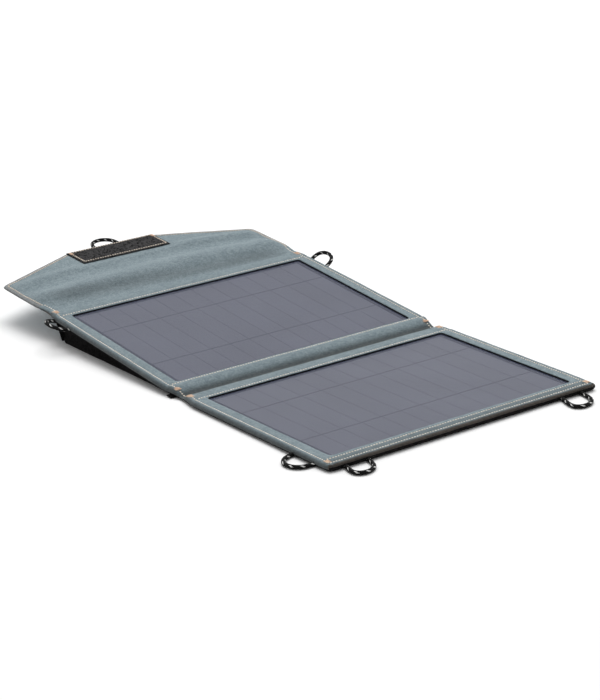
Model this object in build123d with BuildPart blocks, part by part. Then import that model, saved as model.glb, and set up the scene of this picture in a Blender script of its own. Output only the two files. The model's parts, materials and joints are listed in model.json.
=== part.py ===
"""Folding two-panel solar charger with a closing flap, a rear pocket and hanging loops.

The front panel lies on the ground. The rear panel is raised by the pocket on its back, and the
closing flap carries on from its far edge. +X runs along the folds, +Y from the front panel to the
flap, +Z up. The origin is at the middle of the charger's box, on the ground. Millimetres.
"""

import os
from math import cos, pi, radians, sin, tan

from build123d import *

# Panels, seen from above
PANEL_WIDTH = 278.0
WINDOW_WIDTH = 250.0
WINDOW_LENGTH = 164.0
FRONT_MARGIN = 16.5
FOLD_MARGIN = 14.0
REAR_MARGIN = 14.5
CORNER_RADIUS = 4.0
WINDOW_RADIUS = 3.0
FOLD_WEB = 14.0
REAR_TILT = 5.7

# Panel layers, heights above the panel's own underside
THICKNESS = 6.0
SEAM_HEIGHT = 4.0
RECESS_FLOOR = 2.2
STIFFENER_TOP = 3.2
PLATE_TOP = 3.7
CELL_TOP = 3.88
RIBBON_TOP = 3.95
PLATE_OVERLAP = 7.0
TRIM_WIDTH = 1.0
TRIM_TOP = 5.9
AXIS_ABOVE_FACE = 0.5

# Binding rolled round the edges
BINDING_WIDTH = 4.0
BINDING_WALL = 1.2
BINDING_FOOT = 1.8
TONGUE_LOW = 3.0
TONGUE_HIGH = 5.0

# Soft fabric across the fold
WEB_END_LOW = 0.8
WEB_END_HIGH = 5.2
WEB_MIDDLE_LOW = 0.5
WEB_MIDDLE_HIGH = 3.2
WEB_INSET = 1.5

# Solar cells: narrow strips cut from a 156 mm wafer
CELL_COUNT = 12
CELL_PITCH = 20.0
CELL_WIDTH = 19.5
CELL_LENGTH = 156.0
RIBBON_SPACING = 78.0
RIBBON_WIDTH = 1.5

# Closing flap, lengths from its root at the rear panel's far edge
FLAP_WEB = 17.0
FLAP_STRAIGHT = 78.7
FLAP_REACH = 117.5
FLAP_TIP_WIDTH = 98.0
FLAP_TILT = 3.8
FLAP_UNDERSIDE = 3.0
FLAP_BACK_TOP = 4.2
FLAP_FACE_BOTTOM = 4.8
FLAP_TONGUE_LOW = 3.8
FLAP_TONGUE_HIGH = 5.2
FLAP_BINDING = 3.5
FLAP_CORNER_RADIUS = 3.0
CUT_MARGIN = 1.0
HOOK_PATCH = (96.0, 31.5)
HOOK_PATCH_END = 116.5
HOOK_HEIGHT = 1.1
LOOP_PATCH = (110.0, 42.0)
LOOP_PATCH_DEPTH = 1.0

# Pocket on the rear panel's back
POCKET_HALF = 134.0
SHEET = 1.2
POCKET_FRONT = 13.0
POCKET_HEM = 6.0
POCKET_REAR = 184.0
MOUTH_LEAN = 30.0
LIP_HEIGHT = 9.5
TAPE = 0.9
TAPE_LENGTH = 250.0
TAPE_WIDTH = 6.0
CLOSURE_FOOT = 2.7
CLOSURE_TOP = 23.4
CLOSURE_HALF = 133.0
SEAM_GAP = 0.05

# Regulator with two USB sockets, hung on the rear panel's back inside the pocket
CASE_X = 67.0
CASE_WIDTH = 64.0
CASE_NEAR_END = 148.0
CASE_FAR_END = 184.0
CASE_TOP = -0.3
CASE_SPLIT = -5.0
CASE_BOTTOM = -11.3
CASE_WALL = 1.6
CASE_SKIN = 1.2
CASE_ROUNDING = 3.0
PAD_WIDTH = 42.0
BOARD_TOP = -1.7
BOARD_BOTTOM = -3.3
BOARD_CLEARANCE = 0.3
SOCKET_WIDTH = 13.4
SOCKET_DEPTH = 14.0
SOCKET_HEIGHT = 6.0
SOCKET_WALL = 0.4
SOCKET_SPACING = 24.0
SOCKET_CLEARANCE = 0.15
TONGUE_WIDTH = 11.1
TONGUE_THICKNESS = 1.9
TONGUE_REACH = 8.5
LENS_RADIUS = 1.5
LENS_HEIGHT = -7.0

# Flat two-core lead between the panels and the regulator
LEAD_WIDTH = 6.0
LEAD_LOW = 1.2
LEAD_HIGH = 2.1
LEAD_CHANNEL = 7.0
FRONT_LEAD_END = 60.0
REAR_LEAD_END = 164.0
LEAD_LEG = 1.2
CHANNEL_END_GAP = 1.0

# Hanging loops of round cord
CORD_DIAMETER = 3.5
ROOT_GAP = 1.0
SHOULDER_DROP = 0.6
TIP_SHARE = 0.42
SHOULDER_LEAN = 0.6
BEND_SHARE = 0.45

HALF_WEB = FOLD_WEB / 2
FRONT_LENGTH = FOLD_MARGIN + WINDOW_LENGTH + FRONT_MARGIN
REAR_LENGTH = FOLD_MARGIN + WINDOW_LENGTH + REAR_MARGIN
FRONT_END = HALF_WEB + FRONT_LENGTH
REAR_END = HALF_WEB + REAR_LENGTH
WINDOW_CENTRE = HALF_WEB + FOLD_MARGIN + WINDOW_LENGTH / 2
AXIS_HEIGHT = THICKNESS + AXIS_ABOVE_FACE

# Where the closed flap's hook patch lands, measured from the fold
LOOP_PATCH_CENTRE = REAR_END + FLAP_WEB - HOOK_PATCH_END + HOOK_PATCH[1] / 2

# The far end of the flap measured from the fold, so the origin can be put half way along
REAR_RUN = AXIS_HEIGHT * sin(radians(REAR_TILT)) + REAR_END * cos(radians(REAR_TILT))
FACE_SHIFT = THICKNESS * (sin(radians(FLAP_TILT)) - sin(radians(REAR_TILT)))
UNDERSIDE_SHIFT = -FLAP_UNDERSIDE * sin(radians(FLAP_TILT))
TIP_Y = REAR_RUN + FACE_SHIFT + UNDERSIDE_SHIFT + FLAP_REACH * cos(radians(FLAP_TILT))
FOLD_Y = (FRONT_END - TIP_Y) / 2


def tilted_frame(origin, tilt):
    """Plane whose own Y leans up from +Y by tilt degrees."""
    lean = radians(tilt)
    return Plane(origin=origin, x_dir=(1, 0, 0), z_dir=(0, -sin(lean), cos(lean)))


# Each frame's own Y runs outwards from its fold, and its own Z from the underside to the face
FRONT = Plane(origin=(0, FOLD_Y, 0), x_dir=(-1, 0, 0), z_dir=(0, 0, 1))
REAR = tilted_frame(
    (
        0,
        FOLD_Y + AXIS_HEIGHT * sin(radians(REAR_TILT)),
        AXIS_HEIGHT * (1 - cos(radians(REAR_TILT))),
    ),
    REAR_TILT,
)
FLAP_ROOT = REAR.from_local_coords((0, REAR_END, THICKNESS))
FLAP = tilted_frame(
    (
        0,
        FLAP_ROOT.Y + THICKNESS * sin(radians(FLAP_TILT)),
        FLAP_ROOT.Z - THICKNESS * cos(radians(FLAP_TILT)),
    ),
    FLAP_TILT,
)
# The pocket's mouth: own Y up the leaning rear wall, own Z outwards
MOUTH = Plane(
    origin=(0, FOLD_Y + POCKET_REAR, 0),
    x_dir=(-1, 0, 0),
    z_dir=(0, cos(radians(MOUTH_LEAN)), -sin(radians(MOUTH_LEAN))),
)

parts = {}


def keep(name, builder):
    """Labels a finished piece and files it under its node name."""
    builder.part.label = name
    parts[name] = builder.part


def block(frame, low, high, mode=Mode.ADD):
    """Box between two corners given in a frame."""
    with BuildSketch(frame.offset(low[2])) as base:
        with Locations(((low[0] + high[0]) / 2, (low[1] + high[1]) / 2)):
            Rectangle(high[0] - low[0], high[1] - low[1])
    extrude(base.sketch, amount=high[2] - low[2], mode=mode)


def section(frame, y, z):
    """A frame's point on the middle plane, as world Y and Z."""
    point = frame.from_local_coords((0, y, z))
    return (point.Y, point.Z)


def run_across(points, width, middle=0.0, mode=Mode.ADD):
    """Outline of world Y and Z points, extruded across the charger."""
    with BuildSketch(Plane.YZ.offset(middle - width / 2)) as outline:
        Polygon(*points, align=None)
    extrude(outline.sketch, amount=width, mode=mode)


def slab(frame, length, low, high, inset, end_inset, radius=0.0, mode=Mode.ADD):
    """Panel-shaped layer between two heights, set in from its bound edges."""
    depth = length - end_inset
    with BuildSketch(frame.offset(low)) as base:
        with Locations((0, HALF_WEB + depth / 2)):
            Rectangle(PANEL_WIDTH - 2 * inset, depth)
        if radius:
            fillet(base.vertices().group_by(Axis.Y)[-1], radius)
    extrude(base.sketch, amount=high - low, mode=mode)


def window(frame, low, high, grow, mode=Mode.ADD):
    """Window-shaped layer between two heights, grown on every side."""
    with BuildSketch(frame.offset(low)) as base:
        with Locations((0, WINDOW_CENTRE)):
            RectangleRounded(WINDOW_WIDTH + 2 * grow, WINDOW_LENGTH + 2 * grow, WINDOW_RADIUS)
    extrude(base.sketch, amount=high - low, mode=mode)


def lead_side(frame):
    """The lead's place across a frame."""
    return CASE_X if frame is REAR else -CASE_X


def back_cover(frame, name, length, end_bound, lead_end):
    """Padded outer fabric, with a recess for the solar plate and a channel for the lead."""
    side = lead_side(frame)
    half = LEAD_CHANNEL / 2
    ends = [BINDING_WIDTH, BINDING_WALL] if end_bound else [0, 0]
    with BuildPart() as cover:
        slab(frame, length, 0, SEAM_HEIGHT, BINDING_WIDTH, ends[0])
        slab(frame, length, TONGUE_LOW, SEAM_HEIGHT, BINDING_WALL, ends[1])
        window(frame, RECESS_FLOOR, SEAM_HEIGHT, PLATE_OVERLAP, Mode.SUBTRACT)
        block(
            frame,
            (side - half, HALF_WEB, LEAD_LOW),
            (side + half, lead_end + CHANNEL_END_GAP, RECESS_FLOOR),
            Mode.SUBTRACT,
        )
        if frame is REAR:
            block(
                frame,
                (side - half, lead_end - LEAD_LEG - CHANNEL_END_GAP, 0),
                (side + half, lead_end + CHANNEL_END_GAP, LEAD_LOW),
                Mode.SUBTRACT,
            )
        else:
            patch_recess(frame)
    keep(name + "_back_cover", cover)


def patch_recess(frame):
    """Shallow seat for the loop patch in the front panel's back."""
    block(
        frame,
        (-LOOP_PATCH[0] / 2, LOOP_PATCH_CENTRE - LOOP_PATCH[1] / 2, 0),
        (LOOP_PATCH[0] / 2, LOOP_PATCH_CENTRE + LOOP_PATCH[1] / 2, LOOP_PATCH_DEPTH),
        Mode.SUBTRACT,
    )


def face_cover(frame, name, length, end_bound):
    """Inner fabric, with the window that shows the cells."""
    ends = [BINDING_WIDTH, BINDING_WALL] if end_bound else [0, 0]
    with BuildPart() as cover:
        slab(frame, length, SEAM_HEIGHT, THICKNESS, BINDING_WIDTH, ends[0])
        slab(frame, length, SEAM_HEIGHT, TONGUE_HIGH, BINDING_WALL, ends[1])
        window(frame, SEAM_HEIGHT, THICKNESS, 0, Mode.SUBTRACT)
    keep(name + "_face_cover", cover)


def edge_binding(frame, name, length, end_bound):
    """Fabric rolled over the covers' sewn edges."""
    ends = [BINDING_WIDTH, BINDING_WALL] if end_bound else [0, 0]
    radius = CORNER_RADIUS if end_bound else 0
    with BuildPart() as binding:
        slab(frame, length, BINDING_FOOT, THICKNESS, 0, 0, radius)
        slab(frame, length, BINDING_FOOT, THICKNESS, BINDING_WIDTH, ends[0], mode=Mode.SUBTRACT)
        slab(frame, length, TONGUE_LOW, TONGUE_HIGH, BINDING_WALL, ends[1], mode=Mode.SUBTRACT)
    keep(name + "_edge_binding", binding)


def window_layer(frame, name, low, high):
    """One full sheet of the solar plate, held under the window's edges."""
    with BuildPart() as sheet:
        window(frame, low, high, PLATE_OVERLAP)
    keep(name, sheet)


def solar_cells(frame, name):
    """Twelve cell strips, the ribbons soldered over them and the clear film on top."""
    with BuildPart() as cells:
        with BuildSketch(frame.offset(PLATE_TOP)):
            with Locations((0, WINDOW_CENTRE)):
                with GridLocations(CELL_PITCH, 0, CELL_COUNT, 1):
                    Rectangle(CELL_WIDTH, CELL_LENGTH)
        extrude(amount=CELL_TOP - PLATE_TOP)
    keep(name + "_cells", cells)

    with BuildPart() as ribbons:
        with BuildSketch(frame.offset(CELL_TOP)):
            with Locations((0, WINDOW_CENTRE)):
                with GridLocations(0, RIBBON_SPACING, 1, 2):
                    Rectangle(CELL_COUNT * CELL_PITCH, RIBBON_WIDTH)
        extrude(amount=RIBBON_TOP - CELL_TOP)
    keep(name + "_ribbons", ribbons)

    with BuildPart() as film:
        window(frame, PLATE_TOP, SEAM_HEIGHT, PLATE_OVERLAP)
        add(cells.part, mode=Mode.SUBTRACT)
        add(ribbons.part, mode=Mode.SUBTRACT)
    keep(name + "_top_film", film)


def window_trim(frame, name):
    """Black edging round the inside of the window."""
    with BuildPart() as trim:
        window(frame, SEAM_HEIGHT, TRIM_TOP, 0)
        window(frame, SEAM_HEIGHT, TRIM_TOP, -TRIM_WIDTH, Mode.SUBTRACT)
    keep(name + "_window_trim", trim)


def panel_lead(frame, name, end):
    """Flat lead in its channel under the solar plate."""
    side = lead_side(frame)
    half = LEAD_WIDTH / 2
    with BuildPart() as lead:
        block(frame, (side - half, HALF_WEB, LEAD_LOW), (side + half, end, LEAD_HIGH))
        if frame is REAR:
            block(frame, (side - half, end - LEAD_LEG, BOARD_TOP), (side + half, end, LEAD_LOW))
    keep(name + "_lead", lead)


def solar_panel(frame, name, length, end_bound, lead_end):
    """Every layer of one panel."""
    back_cover(frame, name, length, end_bound, lead_end)
    face_cover(frame, name, length, end_bound)
    edge_binding(frame, name, length, end_bound)
    window_layer(frame, name + "_stiffener", RECESS_FLOOR, STIFFENER_TOP)
    window_layer(frame, name + "_backing_plate", STIFFENER_TOP, PLATE_TOP)
    solar_cells(frame, name)
    window_trim(frame, name)
    panel_lead(frame, name, lead_end)


def web_outline(end_low, end_high, middle_low, middle_high):
    """Side view of something soft that crosses the fold."""
    return [
        section(FRONT, HALF_WEB, end_low),
        (FOLD_Y, middle_low),
        section(REAR, HALF_WEB, end_low),
        section(REAR, HALF_WEB, end_high),
        (FOLD_Y, middle_high),
        section(FRONT, HALF_WEB, end_high),
    ]


def fold():
    """Soft fabric between the panels, and the lead that crosses inside it."""
    lead = web_outline(LEAD_LOW, LEAD_HIGH, LEAD_LOW, LEAD_HIGH)
    width = PANEL_WIDTH - 2 * WEB_INSET
    with BuildPart() as web:
        outline = web_outline(WEB_END_LOW, WEB_END_HIGH, WEB_MIDDLE_LOW, WEB_MIDDLE_HIGH)
        run_across(outline, width)
        run_across(lead, LEAD_WIDTH, CASE_X, Mode.SUBTRACT)
    keep("fold_web", web)
    with BuildPart() as crossing:
        run_across(lead, LEAD_WIDTH, CASE_X)
    keep("fold_lead", crossing)


def loop_patch():
    """Soft half of the flap's fastener, let into the front panel's back."""
    with BuildPart() as patch:
        block(
            FRONT,
            (-LOOP_PATCH[0] / 2, LOOP_PATCH_CENTRE - LOOP_PATCH[1] / 2, 0),
            (LOOP_PATCH[0] / 2, LOOP_PATCH_CENTRE + LOOP_PATCH[1] / 2, LOOP_PATCH_DEPTH),
        )
    keep("front_panel_loop_patch", patch)


def flap_layer(low, high, inset, mode=Mode.ADD):
    """Flap-shaped layer beyond its soft root, set in from the three free sides."""
    half = PANEL_WIDTH / 2
    tip = FLAP_TIP_WIDTH / 2
    with BuildSketch(FLAP.offset(low)) as base:
        with BuildLine():
            Polyline(
                (-half, 0),
                (-half, FLAP_STRAIGHT),
                (-tip, FLAP_REACH),
                (tip, FLAP_REACH),
                (half, FLAP_STRAIGHT),
                (half, 0),
                close=True,
            )
        make_face()
        fillet(base.vertices().group_by(Axis.Y)[-1], FLAP_CORNER_RADIUS + inset)
        fillet(base.vertices().group_by(Axis.X)[0].sort_by(Axis.Y)[-1], FLAP_CORNER_RADIUS + inset)
        fillet(base.vertices().group_by(Axis.X)[-1].sort_by(Axis.Y)[-1], FLAP_CORNER_RADIUS + inset)
        if inset:
            offset(amount=-inset, kind=Kind.ARC, mode=Mode.REPLACE)
        with Locations((0, FLAP_WEB / 2 - half / 2)):
            Rectangle(PANEL_WIDTH + CUT_MARGIN, FLAP_WEB + half, mode=Mode.SUBTRACT)
    extrude(base.sketch, amount=high - low, mode=mode)


def flap():
    """Closing flap: soft root, two fabrics over a stiffener, binding and hook patch."""
    with BuildPart() as web:
        run_across(
            [
                section(REAR, REAR_END, FLAP_UNDERSIDE),
                section(FLAP, FLAP_WEB, FLAP_UNDERSIDE),
                section(FLAP, FLAP_WEB, THICKNESS),
                section(REAR, REAR_END, THICKNESS),
            ],
            PANEL_WIDTH,
        )
    keep("flap_web", web)

    with BuildPart() as back:
        flap_layer(FLAP_UNDERSIDE, FLAP_BACK_TOP, FLAP_BINDING)
        flap_layer(FLAP_TONGUE_LOW, FLAP_BACK_TOP, BINDING_WALL)
    keep("flap_back_cover", back)

    with BuildPart() as stiffener:
        flap_layer(FLAP_BACK_TOP, FLAP_FACE_BOTTOM, BINDING_WALL)
    keep("flap_stiffener", stiffener)

    with BuildPart() as face:
        flap_layer(FLAP_FACE_BOTTOM, THICKNESS, FLAP_BINDING)
        flap_layer(FLAP_FACE_BOTTOM, FLAP_TONGUE_HIGH, BINDING_WALL)
    keep("flap_face_cover", face)

    with BuildPart() as binding:
        flap_layer(FLAP_UNDERSIDE, THICKNESS, 0)
        flap_layer(FLAP_UNDERSIDE, THICKNESS, FLAP_BINDING, Mode.SUBTRACT)
        flap_layer(FLAP_TONGUE_LOW, FLAP_TONGUE_HIGH, BINDING_WALL, Mode.SUBTRACT)
    keep("flap_edge_binding", binding)

    with BuildPart() as hooks:
        block(
            FLAP,
            (-HOOK_PATCH[0] / 2, HOOK_PATCH_END - HOOK_PATCH[1], THICKNESS),
            (HOOK_PATCH[0] / 2, HOOK_PATCH_END, THICKNESS + HOOK_HEIGHT),
        )
    keep("flap_hook_patch", hooks)


def mouth_height(out):
    """How far up the mouth's own Y the panel's underside is, that far out of the mouth."""
    slope = tan(radians(REAR_TILT))
    lean = radians(MOUTH_LEAN)
    foot = REAR.origin.Z + slope * (MOUTH.origin.Y - REAR.origin.Y)
    rise = foot + out * (slope * cos(lean) + sin(lean))
    return rise / (cos(lean) - slope * sin(lean))


def pocket():
    """Fabric pocket between the rear panel's back and the ground, open at the rear."""
    start = section(REAR, POCKET_FRONT, 0)
    inside = section(REAR, POCKET_FRONT + POCKET_HEM, 0)
    rim = section(MOUTH, mouth_height(0), 0)
    lip = section(MOUTH, LIP_HEIGHT, 0)
    foot = section(MOUTH, 0, 0)
    lip_inside = section(MOUTH, LIP_HEIGHT, -SHEET)
    foot_inside = (lip_inside[0] - (lip_inside[1] - SHEET) * tan(radians(MOUTH_LEAN)), SHEET)
    with BuildPart() as shell:
        run_across([start, (start[0], 0), foot, rim], 2 * POCKET_HALF)
        run_across(
            [inside, (inside[0], SHEET), foot_inside, lip_inside, lip, rim],
            2 * (POCKET_HALF - SHEET),
            mode=Mode.SUBTRACT,
        )
    keep("pocket_shell", shell)

    with BuildPart() as strip:
        block(
            MOUTH,
            (-TAPE_LENGTH / 2, LIP_HEIGHT - TAPE_WIDTH, 0),
            (TAPE_LENGTH / 2, LIP_HEIGHT, TAPE),
        )
    keep("pocket_loop_strip", strip)

    with BuildPart() as strip:
        block(
            MOUTH,
            (-TAPE_LENGTH / 2, LIP_HEIGHT - TAPE_WIDTH, TAPE + SEAM_GAP),
            (TAPE_LENGTH / 2, LIP_HEIGHT, 2 * TAPE + SEAM_GAP),
        )
    keep("closure_hook_strip", strip)

    with BuildPart() as cover:
        block(
            MOUTH,
            (-CLOSURE_HALF, CLOSURE_FOOT, 2 * TAPE + SEAM_GAP),
            (CLOSURE_HALF, CLOSURE_TOP, 2 * TAPE + SEAM_GAP + SHEET),
        )
    keep("closure_cover", cover)


def case_half(low, high, inner_low, inner_high):
    """One half of the regulator's case, open towards the other half and the sockets."""
    depth = CASE_FAR_END - CASE_NEAR_END
    middle = (CASE_X, (CASE_NEAR_END + CASE_FAR_END) / 2)
    with BuildSketch(REAR.offset(low)) as outer:
        with Locations(middle):
            RectangleRounded(CASE_WIDTH, depth, CASE_ROUNDING)
    extrude(outer.sketch, amount=high - low)
    with BuildSketch(REAR.offset(inner_low)) as inner:
        with Locations(middle):
            RectangleRounded(
                CASE_WIDTH - 2 * CASE_WALL, depth - 2 * CASE_WALL, CASE_ROUNDING - CASE_WALL
            )
    extrude(inner.sketch, amount=inner_high - inner_low, mode=Mode.SUBTRACT)
    for side in (-1, 1):
        centre = CASE_X + side * SOCKET_SPACING / 2
        half = SOCKET_WIDTH / 2 + SOCKET_CLEARANCE
        block(
            REAR,
            (
                centre - half,
                CASE_FAR_END - SOCKET_DEPTH,
                BOARD_BOTTOM - SOCKET_HEIGHT - SOCKET_CLEARANCE,
            ),
            (centre + half, CASE_FAR_END, BOARD_BOTTOM),
            Mode.SUBTRACT,
        )
    add(lens_hole(), mode=Mode.SUBTRACT)


def lens_hole():
    """Round post through the case's far wall, between the sockets."""
    middle = REAR.from_local_coords((CASE_X, CASE_FAR_END - CASE_WALL, LENS_HEIGHT))
    return Solid.make_cylinder(LENS_RADIUS, CASE_WALL, Plane(middle, z_dir=REAR.y_dir))


def regulator():
    """Case, board, sockets and indicator lens."""
    lead_foot = REAR_LEAD_END - LEAD_LEG - CHANNEL_END_GAP
    with BuildPart() as upper:
        case_half(CASE_SPLIT, CASE_TOP, CASE_SPLIT, CASE_TOP - CASE_SKIN)
        block(
            REAR,
            (CASE_X - LEAD_CHANNEL / 2, lead_foot, CASE_TOP - CASE_SKIN),
            (CASE_X + LEAD_CHANNEL / 2, REAR_LEAD_END + CHANNEL_END_GAP, CASE_TOP),
            Mode.SUBTRACT,
        )
    keep("regulator_case_upper", upper)

    with BuildPart() as lower:
        case_half(CASE_BOTTOM, CASE_SPLIT, CASE_BOTTOM + CASE_SKIN, CASE_SPLIT)
    keep("regulator_case_lower", lower)

    edge = CASE_WALL + BOARD_CLEARANCE
    with BuildPart() as board:
        with BuildSketch(REAR.offset(BOARD_BOTTOM)):
            with Locations((CASE_X, (CASE_NEAR_END + CASE_FAR_END) / 2)):
                RectangleRounded(
                    CASE_WIDTH - 2 * edge, CASE_FAR_END - CASE_NEAR_END - 2 * edge, CASE_ROUNDING / 2
                )
        extrude(amount=BOARD_TOP - BOARD_BOTTOM)
    keep("regulator_circuit_board", board)

    with BuildPart() as pad:
        block(
            REAR,
            (CASE_X - PAD_WIDTH / 2, CASE_NEAR_END + CASE_ROUNDING, CASE_TOP),
            (CASE_X + PAD_WIDTH / 2, lead_foot, 0),
        )
    keep("regulator_adhesive_pad", pad)

    for name, side in (("left", -1), ("right", 1)):
        usb_socket(name, CASE_X + side * SOCKET_SPACING / 2)

    with BuildPart() as lens:
        add(lens_hole())
    keep("regulator_indicator_lens", lens)


def usb_socket(name, middle):
    """Metal shell round an open port, and the contact tongue inside it."""
    half = SOCKET_WIDTH / 2
    back = CASE_FAR_END - SOCKET_DEPTH
    low = BOARD_BOTTOM - SOCKET_HEIGHT
    with BuildPart() as shell:
        block(REAR, (middle - half, back, low), (middle + half, CASE_FAR_END, BOARD_BOTTOM))
        block(
            REAR,
            (middle - half + SOCKET_WALL, back + SOCKET_WALL, low + SOCKET_WALL),
            (middle + half - SOCKET_WALL, CASE_FAR_END, BOARD_BOTTOM - SOCKET_WALL),
            Mode.SUBTRACT,
        )
    keep(f"usb_shell_{name}", shell)
    with BuildPart() as tongue:
        block(
            REAR,
            (middle - TONGUE_WIDTH / 2, back + SOCKET_WALL, low + SOCKET_HEIGHT / 2),
            (
                middle + TONGUE_WIDTH / 2,
                back + SOCKET_WALL + TONGUE_REACH,
                low + SOCKET_HEIGHT / 2 + TONGUE_THICKNESS,
            ),
        )
    keep(f"usb_tongue_{name}", tongue)


def loop_plane(frame, root, outward, lift):
    """Plane at a loop's root: own Y outwards from the edge, own Z up from the loop."""
    out = direction(frame, outward)
    up = frame.z_dir
    tilt = radians(lift)
    normal = up * cos(tilt) - out * sin(tilt)
    return Plane(origin=frame.from_local_coords(root), x_dir=out.cross(up), z_dir=normal)


def direction(frame, way):
    """A frame's own X and Y direction as a world vector."""
    return frame.x_dir * way[0] + frame.y_dir * way[1]


def loop_route(spread, bulge, reach, lean):
    """Hand-set points of a loop in its own plane, root to root."""
    shoulder = reach - SHOULDER_DROP * bulge
    tip = TIP_SHARE * bulge
    return [
        (-spread, ROOT_GAP),
        (-bulge + SHOULDER_LEAN * lean, shoulder),
        (-tip + lean, reach),
        (tip + lean, reach),
        (bulge + SHOULDER_LEAN * lean, shoulder),
        (spread, ROOT_GAP),
    ]


def corner_radii(points):
    """Bend radius that fits each inner corner of a route."""
    radii = []
    for before, here, after in zip(points, points[1:], points[2:]):
        arriving = Vector(here[0] - before[0], here[1] - before[1])
        leaving = Vector(after[0] - here[0], after[1] - here[1])
        half_turn = radians(arriving.get_angle(leaving)) / 2
        radii.append(BEND_SHARE * min(arriving.length, leaving.length) / tan(half_turn))
    return radii


def cord_loop(name, frame, root, outward, lift, shape):
    """Round cord bent into a flat loop, both ends sewn into an edge."""
    plane = loop_plane(frame, root, outward, lift)
    route = loop_route(*shape)
    radii = corner_radii(route)
    with BuildPart() as cord:
        with BuildLine(plane) as path:
            FilletPolyline(*route, radius=radii)
        line = path.wire()
        with BuildSketch(Plane(line @ 0, z_dir=line % 0)):
            Circle(CORD_RADIUS)
        sweep(path=line)
    keep(name, cord)
    ideal = line.length * pi * CORD_RADIUS**2
    print(
        f"{name}: length {line.length:.1f}, tightest radius {min(radii):.1f}, "
        f"volume {cord.part.volume:.0f} of {ideal:.0f}"
    )


CORD_RADIUS = CORD_DIAMETER / 2
HALF_WIDTH = PANEL_WIDTH / 2
FLAP_MIDDLE = (FLAP_UNDERSIDE + THICKNESS) / 2

# Loop: frame, root point, outward way, lift in degrees,
# then half its root spacing, half its width, its reach and its tip's sideways lean
LOOPS = {
    "front_left_loop": (
        (FRONT, (112.0, FRONT_END, CORD_RADIUS), (0, 1), 0.0),
        (10.8, 11.7, 18.5, 5.0),
    ),
    "front_right_loop": (
        (FRONT, (-110.0, FRONT_END, CORD_RADIUS), (0, 1), 0.0),
        (10.3, 12.5, 23.0, 6.5),
    ),
    "left_front_loop": (
        (FRONT, (HALF_WIDTH, 169.2, CORD_RADIUS), (1, 0), 0.0),
        (13.0, 12.4, 16.5, -1.5),
    ),
    "left_rear_loop": (
        (REAR, (-HALF_WIDTH, 177.7, CORD_RADIUS), (-1, 0), 20.0),
        (11.5, 11.7, 16.0, -3.0),
    ),
    "right_rear_loop": (
        (REAR, (HALF_WIDTH, 174.0, CORD_RADIUS), (1, 0), 20.0),
        (10.8, 11.7, 16.5, -4.0),
    ),
    "flap_loop": (
        (FLAP, (-1.7, FLAP_REACH, FLAP_MIDDLE), (0, 1), 0.0),
        (13.0, 12.4, 17.5, 1.5),
    ),
}

solar_panel(FRONT, "front_panel", FRONT_LENGTH, True, FRONT_LEAD_END)
solar_panel(REAR, "rear_panel", REAR_LENGTH, False, REAR_LEAD_END)
fold()
loop_patch()
flap()
pocket()
regulator()
for loop_name, (place, shape) in LOOPS.items():
    cord_loop(loop_name, *place, shape)

os.makedirs("parts", exist_ok=True)
for node, solid in parts.items():
    export_step(solid, f"parts/{node}.step")
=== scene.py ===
"""Looks of the folding two-panel solar charger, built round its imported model.

Lengths are millimetres until a mesh is made. Each panel has a frame of its own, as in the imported
model: x across the charger, y outwards from the fold and z from the underside up to the face.
"""

import json
import random
from math import cos, pi, radians, sin, tan

import bmesh
import bpy
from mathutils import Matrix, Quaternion, Vector, noise


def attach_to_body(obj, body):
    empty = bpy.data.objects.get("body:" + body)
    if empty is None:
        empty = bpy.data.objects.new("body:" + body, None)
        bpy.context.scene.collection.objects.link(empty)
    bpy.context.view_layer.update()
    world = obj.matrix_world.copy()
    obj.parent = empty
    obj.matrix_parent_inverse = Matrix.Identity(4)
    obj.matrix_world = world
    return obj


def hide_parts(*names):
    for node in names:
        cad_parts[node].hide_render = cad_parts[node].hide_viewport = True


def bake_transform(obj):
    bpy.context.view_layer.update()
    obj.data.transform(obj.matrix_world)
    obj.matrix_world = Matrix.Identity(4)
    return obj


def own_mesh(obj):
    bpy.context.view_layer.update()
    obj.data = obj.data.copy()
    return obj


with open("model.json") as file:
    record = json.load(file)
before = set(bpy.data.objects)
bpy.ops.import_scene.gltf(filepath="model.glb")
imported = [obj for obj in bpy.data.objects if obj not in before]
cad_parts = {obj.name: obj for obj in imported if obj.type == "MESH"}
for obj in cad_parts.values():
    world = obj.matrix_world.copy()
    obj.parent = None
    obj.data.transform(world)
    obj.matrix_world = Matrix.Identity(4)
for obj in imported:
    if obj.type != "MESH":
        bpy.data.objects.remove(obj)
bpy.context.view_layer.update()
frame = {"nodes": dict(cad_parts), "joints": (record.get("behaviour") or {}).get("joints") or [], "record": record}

MM = 0.001
SEED = 7
UP = Vector((0, 0, 1))
# Points this near each other count as one
SAME_POINT = 0.01

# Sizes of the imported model
PANEL_HALF = 139.0
WINDOW_HALF = 125.0
WINDOW_NEAR = 21.0
WINDOW_FAR = 185.0
WINDOW_MIDDLE = (WINDOW_NEAR + WINDOW_FAR) / 2
WINDOW_HALF_LENGTH = (WINDOW_FAR - WINDOW_NEAR) / 2
WINDOW_ROUNDING = 3.0
FRONT_END = 201.5
REAR_END = 199.5
FACE = 6.0
REAR_TILT = radians(5.7)
HALF_WEB = 7.0
FILM_TOP = 4.5
FILM_OVERLAP = 6.5
CELL_PITCH = 20.0
FLAP_TILT = radians(3.8)
FLAP_WEB = 17.0
FLAP_STRAIGHT = 78.7
FLAP_REACH = 117.5
FLAP_TIP_HALF = 49.0
FLAP_SLANT = (PANEL_HALF - FLAP_TIP_HALF) / (FLAP_REACH - FLAP_STRAIGHT)
FLAP_UNDERSIDE = 3.0
FLAP_HEM_LIFT = 0.5
HOOK_PATCH_HALF = 48.0
HOOK_PATCH_NEAR = 85.0
HOOK_PATCH_FAR = 116.5
HOOK_PATCH_HEIGHT = 1.1
HOOK_PATCH_SUNK = 0.1
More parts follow.
